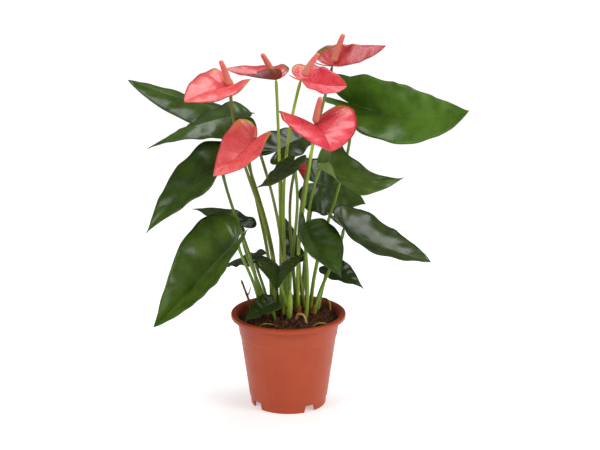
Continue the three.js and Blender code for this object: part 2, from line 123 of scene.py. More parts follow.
def arc(start: Array, turn: Array, length: Array) -> tuple[Array, Array]:
    """End of an arc that sets off at angle start and turns evenly by turn over its length.

    A length l turned by a has radius r = l / a, and ends r (sin(start + a) - sin start) forward
    and r (cos start - cos(start + a)) up. With no turn it is a straight line.

    Args:
        start: angle at the start, in radians.
        turn: angle turned through, in radians.
        length: length along the arc.

    Returns:
        Distance forward and distance up.
    """
    straight = np.abs(turn) < 1e-6
    radius = length / np.where(straight, 1.0, turn)
    forward = radius * (np.sin(start + turn) - np.sin(start))
    up = radius * (np.cos(start) - np.cos(start + turn))
    return (
        np.where(straight, length * np.cos(start), forward),
        np.where(straight, length * np.sin(start), up),
    )


def turn_about(axis: int, angle: Array, vectors: Array) -> Array:
    """Vectors turned right-handed by an angle about X (axis 0), Y (axis 1) or Z (axis 2)."""
    first, second = (axis + 1) % 3, (axis + 2) % 3
    turned = vectors.copy()
    turned[..., first] = np.cos(angle) * vectors[..., first] - np.sin(angle) * vectors[..., second]
    turned[..., second] = np.sin(angle) * vectors[..., first] + np.cos(angle) * vectors[..., second]
    return turned


def turns(count: int) -> Array:
    """Angles of a whole turn in equal steps from 0, in radians: 2 pi k / count."""
    return 2.0 * np.pi * np.arange(count) / count


def around(radius: Array | float, angle: Array, height: Array | float) -> Array:
    """Points at a radius, an angle and a height: (r cos a, r sin a, h)."""
    return np.stack(np.broadcast_arrays(radius * np.cos(angle), radius * np.sin(angle), height), axis=-1)


@dataclass(frozen=True)
class Waves:
    """Uneven height field: the sum of cosine waves of random direction, length and phase.

    Args:
        seed: seed of the random draw.
        shortest: shortest wavelength.
        longest: longest wavelength.
        count: number of waves.
    """

    seed: int
    shortest: float
    longest: float
    count: int = 40

    def at(self, x: Array, y: Array) -> Array:
        """Height at each point, with a spread of about 1 either way."""
        draw = np.random.default_rng(self.seed)
        wavelength = np.exp(draw.uniform(np.log(self.shortest), np.log(self.longest), self.count))
        heading = draw.uniform(0.0, 2.0 * np.pi, self.count)
        phase = draw.uniform(0.0, 2.0 * np.pi, self.count)
        weight = wavelength / np.sqrt(np.sum(wavelength**2) / 2.0)
        along = x[..., None] * np.cos(heading) + y[..., None] * np.sin(heading)
        return np.sum(weight * np.cos(2.0 * np.pi * along / wavelength + phase), axis=-1)


# ------------------------------------------------------------------------------------ mesh building


@dataclass
class Patch:
    """Points, faces, per-point values and per-face material numbers of a mesh, in millimetres."""

    points: Array
    quads: Array
    values: dict[str, Array] = field(default_factory=dict)
    finish: Array | None = None

    @staticmethod
    def joined(patches: Sequence["Patch"]) -> "Patch":
        """All patches as one, each with its own run of points."""
        starts = np.cumsum([0] + [len(patch.points) for patch in patches[:-1]])
        quads = [patch.quads + start for patch, start in zip(patches, starts)]
        values = {
            name: np.concatenate([patch.values[name] for patch in patches]) for name in patches[0].values
        }
        finishes = [
            np.zeros(len(patch.quads), int) if patch.finish is None else patch.finish for patch in patches
        ]
        return Patch(
            np.concatenate([patch.points for patch in patches]),
            np.concatenate(quads),
            values,
            np.concatenate(finishes),
        )


def grid_quads(rows: int, columns: int, round_about: bool = False, flip: bool = False) -> Array:
    """Quads between neighbouring points of a grid stored row by row.

    Args:
        rows: number of rows of points.
        columns: number of points in a row.
        round_about: whether the last column joins back on to the first.
        flip: whether the faces look the other way.

    Returns:
        One row of four point numbers for each quad.
    """
    i = np.arange(rows - 1)[:, None]
    j = np.arange(columns if round_about else columns - 1)[None, :]
    nxt = (j + 1) % columns
    quads = np.stack(
        [i * columns + j, i * columns + nxt, (i + 1) * columns + nxt, (i + 1) * columns + j], axis=-1
    ).reshape(-1, 4)
    return quads[:, ::-1] if flip else quads


def mesh_of(name: str, patch: Patch, weld: bool = True) -> bpy.types.Mesh:
    """Blender mesh of a patch, in metres, smooth-shaded, with coinciding points merged.

    Args:
        name: name of the mesh.
        patch: its points, quads and values.
        weld: whether coinciding points are merged and faces without area dropped.

    Returns:
        The mesh.
    """
    mesh = bpy.data.meshes.new(name)
    mesh.from_pydata(patch.points * MM, [], patch.quads.tolist())
    for label, value in patch.values.items():
        flat = np.ascontiguousarray(value, dtype=np.float32)
        if flat.ndim == 2:
            layer = mesh.attributes.new(label, "FLOAT_VECTOR", "POINT")
            layer.data.foreach_set("vector", flat.ravel())
        else:
            layer = mesh.attributes.new(label, "FLOAT", "POINT")
            layer.data.foreach_set("value", flat)
    if patch.finish is not None:
        mesh.polygons.foreach_set("material_index", patch.finish.astype(np.int32))
    if weld:
        work = bmesh.new()
        work.from_mesh(mesh)
        bmesh.ops.remove_doubles(work, verts=work.verts, dist=WELD_REACH)
        bmesh.ops.dissolve_degenerate(work, edges=work.edges, dist=LEAST_EDGE)
        work.to_mesh(mesh)
        work.free()
    mesh.polygons.foreach_set("use_smooth", np.ones(len(mesh.polygons), bool))
    mesh.update()
    return mesh


def place(
    name: str,
    mesh: bpy.types.Mesh,
    materials: Sequence[bpy.types.Material],
    nodes: Sequence[str] = (),
) -> bpy.types.Object:
    """Puts a finished mesh into the scene as a piece of the plant.

    Args:
        name: name of the piece.
        mesh: its mesh, already in place.
        materials: its materials, in the order of the faces' material numbers.
        nodes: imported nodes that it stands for.

    Returns:
        The piece.
    """
    for material in materials:
        mesh.materials.append(material)
    piece = bpy.data.objects.new(name, mesh)
    bpy.context.scene.collection.objects.link(piece)
    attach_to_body(piece, "root")
    if nodes:
        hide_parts(*nodes)
    LOG.info("%s: %d points, %d faces", name, len(mesh.vertices), len(mesh.polygons))
    return piece


def tube(
    path: Array,
    radius: Array,
    sides: int,
    relief: Callable[[Array, Array], Array],
) -> Patch:
    """Closed tube: a ring of points round each point of a path, in the plane square to the path.

    The ring's two directions are the path's direction crossed with one fixed vector, the normal of the
    plane in which the path bends, and the cross product of both. Its ends close in rounded caps.

    Args:
        path: points of the centre line, one a row.
        radius: radius at each point.
        sides: points in a ring.
        relief: extra radius for (distance along, angle round), both on the grid.

    Returns:
        The tube with its flat coordinates as the value "flat" and place along it as "along".
    """
    tangent = unit(np.gradient(path, axis=0))
    bend = np.cross(path[-1] - path[0], path[len(path) // 2] - path[0])
    spare = np.cross(path[-1] - path[0], [0.31, -0.95, 0.05])
    across = unit(bend) if np.linalg.norm(bend) > 1e-3 else unit(spare)
    first = unit(np.cross(np.cross(tangent, across), tangent))
    second = np.cross(tangent, first)
    steps = np.linalg.norm(np.diff(path, axis=0), axis=1)
    along = np.concatenate([[0.0], np.cumsum(steps)])
    cap = np.clip(np.minimum(along, along[-1] - along) / np.maximum(radius, 1e-6), 0.0, 1.0)
    rounded = radius * np.sqrt(np.clip(1.0 - (1.0 - cap) ** 2, 0.0, 1.0))
    angle = turns(sides)
    reach = rounded[:, None] * np.ones(sides)
    reach = reach + relief(along[:, None], angle[None, :]) * cap[:, None]
    u, v = np.cos(angle) * reach, np.sin(angle) * reach
    points = path[:, None] + u[..., None] * first[:, None] + v[..., None] * second[:, None]
    flat = np.roll(around(radius[:, None], angle, along[:, None]), 1, axis=-1)
    share = np.broadcast_to((along / along[-1])[:, None], reach.shape)
    values = {"flat": flat.reshape(-1, 3) * MM, "along": share.ravel()}
    return Patch(points.reshape(-1, 3), grid_quads(len(path), sides, round_about=True), values)


def capped(count: int, ends: float = 0.02) -> Array:
    """Places along a path, 0 to 1, crowded towards both ends so that the caps come out round."""
    inner = np.linspace(0.0, 1.0, count)
    extra = ends * np.array([0.02, 0.08, 0.2, 0.4, 0.7])
    return np.unique(np.concatenate([inner, extra, 1.0 - extra]))


# ---------------------------------------------------------------------------------------- materials


class Shader:
    """Builds one material's node tree around a single principled shader."""

    def __init__(self, name: str, **sockets: float | tuple) -> None:
        """Starts a material.

        Args:
            name: name of the material.
            sockets: fixed values of the shader's sockets, with _ for each space in a socket's name.
        """
        self.material = bpy.data.materials.new(name)
        self.material.use_nodes = True
        self.tree = self.material.node_tree
        self.tree.nodes.clear()
        self.body = self.tree.nodes.new("ShaderNodeBsdfPrincipled")
        out = self.tree.nodes.new("ShaderNodeOutputMaterial")
        self.tree.links.new(self.body.outputs[0], out.inputs[0])
        for label, value in sockets.items():
            self.body.inputs[label.replace("_", " ").title().replace("Ior", "IOR")].default_value = value

    def _feed(self, socket: Socket, value: Socket | float | Sequence[float]) -> None:
        """Links a socket or sets its own value."""
        if isinstance(value, bpy.types.NodeSocket):
            self.tree.links.new(value, socket)
        elif hasattr(socket.default_value, "__len__") and len(socket.default_value) == 4:
            socket.default_value = (*value, 1.0)
        else:
            socket.default_value = value

    def set(self, label: str, value: Socket) -> None:
        """Feeds one of the shader's sockets."""
        self._feed(self.body.inputs[label], value)

    def place(self) -> Socket:
        """Object coordinates, in metres."""
        return self.tree.nodes.new("ShaderNodeTexCoord").outputs["Object"]

    def value(self, name: str) -> Socket:
        """One of the mesh's own per-point numbers."""
        node = self.tree.nodes.new("ShaderNodeAttribute")
        node.attribute_name = name
        return node.outputs["Fac"]

    def flat(self) -> Socket:
        """The mesh's own flat coordinates, in metres."""
        node = self.tree.nodes.new("ShaderNodeAttribute")
        node.attribute_name = "flat"
        return node.outputs["Vector"]

    def stretched(self, vector: Socket, scale: Point) -> Socket:
        """Coordinates multiplied by a scale along each axis."""
        node = self.tree.nodes.new("ShaderNodeMapping")
        self._feed(node.inputs["Vector"], vector)
        node.inputs["Scale"].default_value = scale
        return node.outputs[0]

    def noise(self, vector: Socket, scale: float, detail: float = 3.0, rough: float = 0.55) -> Socket:
        """Fractal noise of a scale per metre."""
        node = self.tree.nodes.new("ShaderNodeTexNoise")
        self._feed(node.inputs["Vector"], vector)
        node.inputs["Scale"].default_value = scale
        node.inputs["Detail"].default_value = detail
        node.inputs["Roughness"].default_value = rough
        return node.outputs["Fac"]

    def cells(self, vector: Socket, scale: float, edges: bool = True) -> Socket:
        """Distance to the cell borders, or to the cell centres, of a cell pattern per metre."""
        node = self.tree.nodes.new("ShaderNodeTexVoronoi")
        node.feature = "DISTANCE_TO_EDGE" if edges else "F1"
        self._feed(node.inputs["Vector"], vector)
        node.inputs["Scale"].default_value = scale
        return node.outputs["Distance"]

    def spread(self, value: Socket, low: float, high: float, start: float = 0.0, end: float = 1.0) -> Socket:
        """A value's range low to high carried to start to end, and held inside it."""
        node = self.tree.nodes.new("ShaderNodeMapRange")
        self._feed(node.inputs["Value"], value)
        for label, number in (("From Min", low), ("From Max", high), ("To Min", start), ("To Max", end)):
            node.inputs[label].default_value = number
        return node.outputs["Result"]

    def maths(self, work: str, first: Socket | float, second: Socket | float = 0.0) -> Socket:
        """Two numbers joined by a named operation."""
        node = self.tree.nodes.new("ShaderNodeMath")
        node.operation = work
        self._feed(node.inputs[0], first)
        self._feed(node.inputs[1], second)
        return node.outputs[0]

    def mix(self, share: Socket | float, first: Socket | Colour, second: Socket | Colour) -> Socket:
        """Colour between first (share 0) and second (share 1)."""
        node = self.tree.nodes.new("ShaderNodeMix")
        node.data_type = "RGBA"
        self._feed(node.inputs[0], share)
        self._feed(node.inputs[6], first)
        self._feed(node.inputs[7], second)
        return node.outputs[2]

    def blend(
        self, body: Socket, pattern: Socket, low: float, high: float, most: float, other: Colour
    ) -> Socket:
        """Body colour drawn towards another, by none where a pattern is low and by most where it is high."""
        return self.mix(self.spread(pattern, low, high, 0.0, most), body, other)

    def broken_gloss(self, pattern: Socket, smooth: float, rough: float) -> None:
        """Roughness that follows a noise, from smooth to rough."""
        self.set("Roughness", self.spread(pattern, *NOISE_RANGE, smooth, rough))

    def bump(self, height: Socket, depth_mm: float, under: Socket | None = None) -> Socket:
        """Surface direction of a height pattern of the given depth, laid over another."""
        node = self.tree.nodes.new("ShaderNodeBump")
        node.inputs["Strength"].default_value = 1.0
        node.inputs["Distance"].default_value = depth_mm * MM
        self._feed(node.inputs["Height"], height)
        if under is not None:
            self._feed(node.inputs["Normal"], under)
        return node.outputs[0]


def srgb(red: int, green: int, blue: int) -> Colour:
    """Linear colour of an 8-bit display colour."""
    parts = np.array([red, green, blue]) / 255.0
    linear = np.where(parts <= 0.04045, parts / 12.92, ((parts + 0.055) / 1.055) ** 2.4)
    return tuple(float(part) for part in linear)


LEAF_CELLS = 430.0
SPATHE_CELLS = 330.0


@dataclass(frozen=True)
class LeafFinish:
    """Glossy upper side and dull paler underside of a leaf of one tone."""

    deep: Colour
    fresh: Colour
    vein: Colour
    under: Colour
    under_vein: Colour

    def upper(self, name: str) -> bpy.types.Material:
        """Upper side: mottled green, pale fine veins, a cell relief and a broken waxy gloss."""
        s = Shader(name, Roughness=0.3, Specular_Ior_Level=0.3, Coat_Weight=0.12, Coat_Roughness=0.14)
        flat = s.flat()
        patches = s.spread(s.noise(flat, 34.0, 3.0), 0.36, 0.66)
        body = s.mix(patches, self.deep, self.fresh)
        body = s.blend(body, s.noise(flat, 520.0, 2.0), 0.3, 0.7, 0.35, self.deep)
        net = s.spread(s.cells(flat, LEAF_CELLS), 0.0, 0.09, 0.16, 0.0)
        body = s.mix(net, body, self.vein)
        body = s.blend(body, s.value("vein"), 0.1, 1.0, 0.5, self.vein)
        body = s.blend(body, s.value("edge"), 0.93, 1.0, 0.55, self.vein)
        s.set("Base Color", body)
        s.broken_gloss(s.noise(flat, 95.0, 4.0), 0.2, 0.38)
        s.set("Normal", s.bump(s.cells(flat, LEAF_CELLS), 0.12, s.bump(s.noise(flat, 900.0, 3.0), 0.05)))
        return s.material

    def lower(self, name: str) -> bpy.types.Material:
        """Underside: paler and duller, with raised veins a shade lighter."""
        s = Shader(name, Roughness=0.5, Specular_Ior_Level=0.35)
        flat = s.flat()
        body = s.mix(s.spread(s.noise(flat, 48.0, 3.0), 0.35, 0.7), self.under, self.fresh)
        net = s.spread(s.cells(flat, LEAF_CELLS), 0.0, 0.12, 0.3, 0.0)
        body = s.mix(net, body, self.under_vein)
        body = s.blend(body, s.value("vein"), 0.1, 0.9, 0.8, self.under_vein)
        s.set("Base Color", body)
        s.broken_gloss(s.noise(flat, 130.0, 3.0), 0.42, 0.58)
        s.set("Normal", s.bump(s.cells(flat, LEAF_CELLS), 0.15))
        return s.material


# The tones are partly each leaf's own green, partly painted shade (darker) and painted light (lighter).
LEAF_FINISHES: dict[ToneAndShade, LeafFinish] = {
    ToneAndShade.DEEP: LeafFinish(
        deep=srgb(33, 47, 10),
        fresh=srgb(54, 73, 18),
        vein=srgb(70, 92, 36),
        under=srgb(60, 78, 32),
        under_vein=srgb(96, 112, 52),
    ),
    ToneAndShade.MID: LeafFinish(
        deep=srgb(40, 58, 16),
        fresh=srgb(62, 86, 26),
        vein=srgb(86, 112, 44),
        under=srgb(76, 98, 38),
        under_vein=srgb(116, 132, 60),
    ),
    ToneAndShade.FRESH: LeafFinish(
        deep=srgb(52, 74, 20),
        fresh=srgb(82, 108, 34),
        vein=srgb(112, 142, 54),
        under=srgb(96, 118, 40),
        under_vein=srgb(136, 152, 66),
    ),
    ToneAndShade.BRIGHT: LeafFinish(
        deep=srgb(66, 100, 26),
        fresh=srgb(98, 138, 42),
        vein=srgb(110, 148, 52),
        under=srgb(104, 124, 36),
        under_vein=srgb(144, 158, 64),
    ),
}


@dataclass(frozen=True)
class SpatheFinish:
    """Waxy flower bract: coral face, duller outside and a green-gold rim on its lobes."""

    body: Colour
    light: Colour
    # shade: colour of the veins, partly their own deeper red and partly painted shade in their grooves
    shade: Colour
    rim: Colour
    outside: Colour
    outside_vein: Colour

    def face(self, name: str) -> bpy.types.Material:
        """Coral face: veins darker, partly painted shade in their grooves; a varnished gloss."""
        s = Shader(name, Roughness=0.32, Specular_Ior_Level=0.42, Coat_Weight=0.22, Coat_Roughness=0.14)
        s.body.inputs["Subsurface Weight"].default_value = 0.08
        s.body.inputs["Subsurface Radius"].default_value = (0.9, 0.3, 0.2)
        s.body.inputs["Subsurface Scale"].default_value = 0.002
        flat = s.flat()
        body = s.mix(s.spread(s.noise(flat, 60.0, 4.0), 0.34, 0.68), self.body, self.light)
        body = s.blend(body, s.noise(flat, 1500.0, 2.0), 0.42, 0.7, 0.35, self.light)
        # Veins and midrib drawn to the shade colour: partly their own deeper red, partly painted shade in the
        # vein grooves.
        body = s.blend(body, s.value("vein"), 0.05, 0.6, 0.6, self.shade)
        rim = s.maths("MULTIPLY", s.spread(s.value("edge"), 0.0, 0.7), s.value("lobes"))
        body = s.mix(s.maths("MULTIPLY", rim, 0.95), body, self.rim)
        s.set("Base Color", body)
        s.broken_gloss(s.noise(flat, 240.0, 3.0), 0.24, 0.38)
        dents = s.bump(s.cells(flat, SPATHE_CELLS), 0.28, s.bump(s.noise(flat, 1200.0, 2.0), 0.04))
        s.set("Normal", dents)
        return s.material

    def back(self, name: str) -> bpy.types.Material:
        """Outside: brownish red, olive towards the lobes, with raised paler veins."""
        s = Shader(name, Roughness=0.42, Specular_Ior_Level=0.4)
        flat = s.flat()
        body = s.mix(s.spread(s.noise(flat, 70.0, 4.0), 0.34, 0.66), self.outside, self.body)
        body = s.mix(s.maths("MULTIPLY", s.value("lobes"), 0.55), body, self.rim)
        body = s.blend(body, s.value("vein"), 0.1, 1.0, 0.75, self.outside_vein)
        s.set("Base Color", body)
        s.broken_gloss(s.noise(flat, 200.0, 3.0), 0.34, 0.5)
        s.set("Normal", s.bump(s.cells(flat, SPATHE_CELLS), 0.2))
        return s.material


class Bloom(Enum):
    """Ages of a flower's bract."""

    OPEN = "open"
    PALE = "pale"
    AGED = "aged"


SPATHE_FINISHES: dict[Bloom, SpatheFinish] = {
    Bloom.OPEN: SpatheFinish(
        body=srgb(200, 42, 56),
        light=srgb(219, 70, 80),
        shade=srgb(168, 26, 42),
        rim=srgb(184, 120, 40),
        outside=srgb(158, 62, 56),
        outside_vein=srgb(150, 100, 62),
    ),
    Bloom.PALE: SpatheFinish(
        body=srgb(208, 66, 70),
        light=srgb(228, 98, 96),
        shade=srgb(188, 48, 58),
        rim=srgb(184, 148, 58),
        outside=srgb(196, 96, 78),
        outside_vein=srgb(170, 120, 70),
    ),
    Bloom.AGED: SpatheFinish(
        body=srgb(178, 46, 54),
        light=srgb(206, 80, 82),
        shade=srgb(118, 50, 34),
        rim=srgb(112, 104, 34),
        outside=srgb(128, 48, 42),
        outside_vein=srgb(112, 96, 46),
    ),
}


@dataclass(frozen=True)
class StalkFinish:
    """Smooth fleshy stalk: one green at the foot, another under the blade, with fine lengthwise streaks."""

    foot: Colour
    head: Colour
    streak: Colour

    def material(self, name: str) -> bpy.types.Material:
        """The stalk's material."""
        s = Shader(name, Roughness=0.4, Specular_Ior_Level=0.45)
        flat = s.flat()
        body = s.mix(s.value("along"), self.foot, self.head)
        lines = s.noise(s.stretched(flat, (40.0, 1400.0, 1400.0)), 1.0, 3.0)
        body = s.blend(body, lines, 0.42, 0.68, 0.55, self.streak)
        body = s.blend(body, s.noise(flat, 120.0, 3.0), 0.52, 0.75, 0.45, self.streak)
        s.set("Base Color", body)
        s.broken_gloss(s.noise(flat, 300.0, 2.0), 0.34, 0.5)
        s.set("Normal", s.bump(lines, 0.08))
        return s.material


LEAF_STALK_FINISHES = (
    StalkFinish(foot=srgb(138, 166, 40), head=srgb(98, 128, 34), streak=srgb(84, 112, 28)),
    StalkFinish(foot=srgb(112, 142, 34), head=srgb(124, 154, 40), streak=srgb(72, 98, 26)),
    StalkFinish(foot=srgb(152, 178, 50), head=srgb(92, 120, 32), streak=srgb(94, 120, 32)),
)
FLOWER_STALK_FINISHES = (
    StalkFinish(foot=srgb(152, 180, 44), head=srgb(160, 186, 40), streak=srgb(116, 142, 34)),
    StalkFinish(foot=srgb(136, 162, 42), head=srgb(124, 122, 44), streak=srgb(116, 84, 40)),
)


class Mottled(Enum):
    """Rough natural finishes: two body colours, a spot colour, pattern per metre, roughness and depth."""

    PEAT = (srgb(46, 26, 17), srgb(86, 52, 33), srgb(22, 13, 10), 420.0, 0.95, 1.2)
    CRUMB = (srgb(62, 34, 22), srgb(112, 66, 40), srgb(26, 15, 11), 700.0, 0.92, 0.5)
    FIBRE = (srgb(110, 62, 34), srgb(160, 108, 66), srgb(70, 38, 22), 500.0, 0.8, 0.1)
    ROOT = (srgb(206, 178, 112), srgb(178, 140, 74), srgb(120, 82, 44), 380.0, 0.6, 0.25)
    YOUNG_ROOT = (srgb(186, 176, 70), srgb(150, 146, 52), srgb(112, 88, 40), 380.0, 0.55, 0.2)
    DRY = (srgb(120, 76, 44), srgb(82, 48, 28), srgb(160, 116, 74), 450.0, 0.8, 0.3)
    HUSK = (srgb(150, 74, 34), srgb(104, 50, 28), srgb(186, 118, 60), 420.0, 0.6, 0.2)
    SHEATH = (srgb(146, 172, 52), srgb(178, 198, 90), srgb(112, 142, 38), 160.0, 0.45, 0.15)

    def material(self) -> bpy.types.Material:
        """Material of this finish, made once."""
        name = f"{self.name.lower()}_finish"
        if name in bpy.data.materials:
            return bpy.data.materials[name]
        first, second, spot, scale, rough, depth = self.value
        s = Shader(name, Roughness=rough, Specular_Ior_Level=0.3)
        spot_at = s.place()
        body = s.mix(s.spread(s.noise(spot_at, scale * 0.3, 4.0, 0.6), 0.35, 0.65), first, second)
        body = s.mix(s.spread(s.noise(spot_at, scale, 5.0, 0.7), 0.5, 0.68), body, spot)
        s.set("Base Color", body)
        grain = s.noise(spot_at, scale * 1.6, 6.0, 0.7)
        s.broken_gloss(grain, rough - 0.1, min(1.0, rough + 0.06))
        s.set("Normal", s.bump(grain, depth))
        return s.material


@dataclass(frozen=True)
class PlasticFinish:
    """Satin moulded plastic: even clay colour, faint clouding, fine grain and specks of dust."""

    body: Colour
    worn: Colour
    dust: Colour

    def material(self, name: str) -> bpy.types.Material:
        """The plastic's material."""
        s = Shader(name, Roughness=0.42, Specular_Ior_Level=0.32)
        spot = s.place()
        body = s.mix(s.spread(s.noise(spot, 22.0, 4.0), 0.35, 0.7, 0.0, 0.5), self.body, self.worn)
        flow = s.noise(s.stretched(spot, (160.0, 160.0, 9.0)), 1.0, 3.0)
        body = s.blend(body, flow, 0.5, 0.75, 0.25, self.worn)
        body = s.blend(body, s.noise(spot, 900.0, 2.0, 0.5), 0.66, 0.78, 0.35, self.dust)
        s.set("Base Color", body)
        s.broken_gloss(s.noise(spot, 60.0, 5.0), 0.36, 0.48)
        s.set("Normal", s.bump(s.noise(spot, 1600.0, 3.0), 0.03, s.bump(flow, 0.06)))
        return s.material


PLASTIC = PlasticFinish(body=srgb(166, 62, 28), worn=srgb(180, 76, 40), dust=srgb(194, 106, 68))


@dataclass(frozen=True)
class SpadixFinish:
    """Flower spike: pink florets with paler heads and darker seams, greener towards the foot."""

    foot: Colour
    tip: Colour
    head: Colour

    def material(self, name: str) -> bpy.types.Material:
        """The spike's material."""
        s = Shader(name, Roughness=0.5, Specular_Ior_Level=0.4)
        flat = s.flat()
        body = s.mix(s.spread(s.value("along"), 0.05, 0.75), self.foot, self.tip)
        body = s.blend(body, s.value("floret"), 0.35, 0.95, 0.55, self.head)
        s.set("Base Color", body)
        s.set("Roughness", s.spread(s.value("floret"), 0.0, 1.0, 0.6, 0.42))
        s.set("Normal", s.bump(s.noise(flat, 2200.0, 2.0), 0.06))
        return s.material


# ----------------------------------------------------------------------------- heart-shaped blades


@dataclass(frozen=True)
class VeinStyle:
    """Veins of a blade: how many each half has and how far they stand in relief, in millimetres.

    bow is how far along the margin a vein bends on its way out. stagger, width and widening are shares of the
    step between veins: how far one half's veins are set on from the other's, how wide a vein is at the midrib,
    and how much it widens. rib_width is the midrib's width in millimetres, and collector is the share of the
    way out at which a faint vein follows the margin.
    """

    count: int
    puff: float
    groove: float
    midrib: float
    flutter: float
    thickness: float
    bow: float = 0.12
    stagger: float = 0.25
    width: float = 0.05
    widening: float = 0.04
    rib_width: float = 0.9
    collector: float = 0.93


@dataclass(frozen=True)
class Outline:
    """Shares of a heart's outline: of its half width, of its lobe and of its length.

    The lobe's handles lie at notch_across and notch_down, then at lobe_down. The half is widest at the share
    widest of the length, its shoulder's handle lies at the share shoulder of the rest, and its tip's handle
    at tip_along, moved by tip_pull for each unit by which the tip is fuller than plain_full.
    """

    notch_across: float = 0.08
    notch_down: float = 1.35
    lobe_down: float = 1.25
    widest: float = 0.1
    shoulder: float = 0.4
    tip_along: float = 0.82
    tip_pull: float = 0.2
    plain_full: float = 0.14


HEART = Outline()

LEAF_VEINS = VeinStyle(count=9, puff=0.6, groove=0.18, midrib=0.75, flutter=0.5, thickness=0.6)
SPATHE_VEINS = VeinStyle(count=8, puff=0.4, groove=0.22, midrib=0.35, flutter=0.2, thickness=0.8)


@dataclass(frozen=True)
class HeartPlan:
    """One blade and the stalk under it, in millimetres and degrees.

    base is where the stalk leaves the peat. attach and tip are across, towards the back and above the rim.
    """

    base: tuple[float, float]
    attach: Point
    tip: Point
    roll: float
    half_width: float
    lobe: float
    fold: tuple[float, float]
    curl: float
    droop: float
    ripple: float = 2.0
    twist: float = 0.0
    cup: tuple[float, float] = (0.0, 0.0)
    full: float = HEART.plain_full
    sway: tuple[float, float] = (0.0, 0.0)


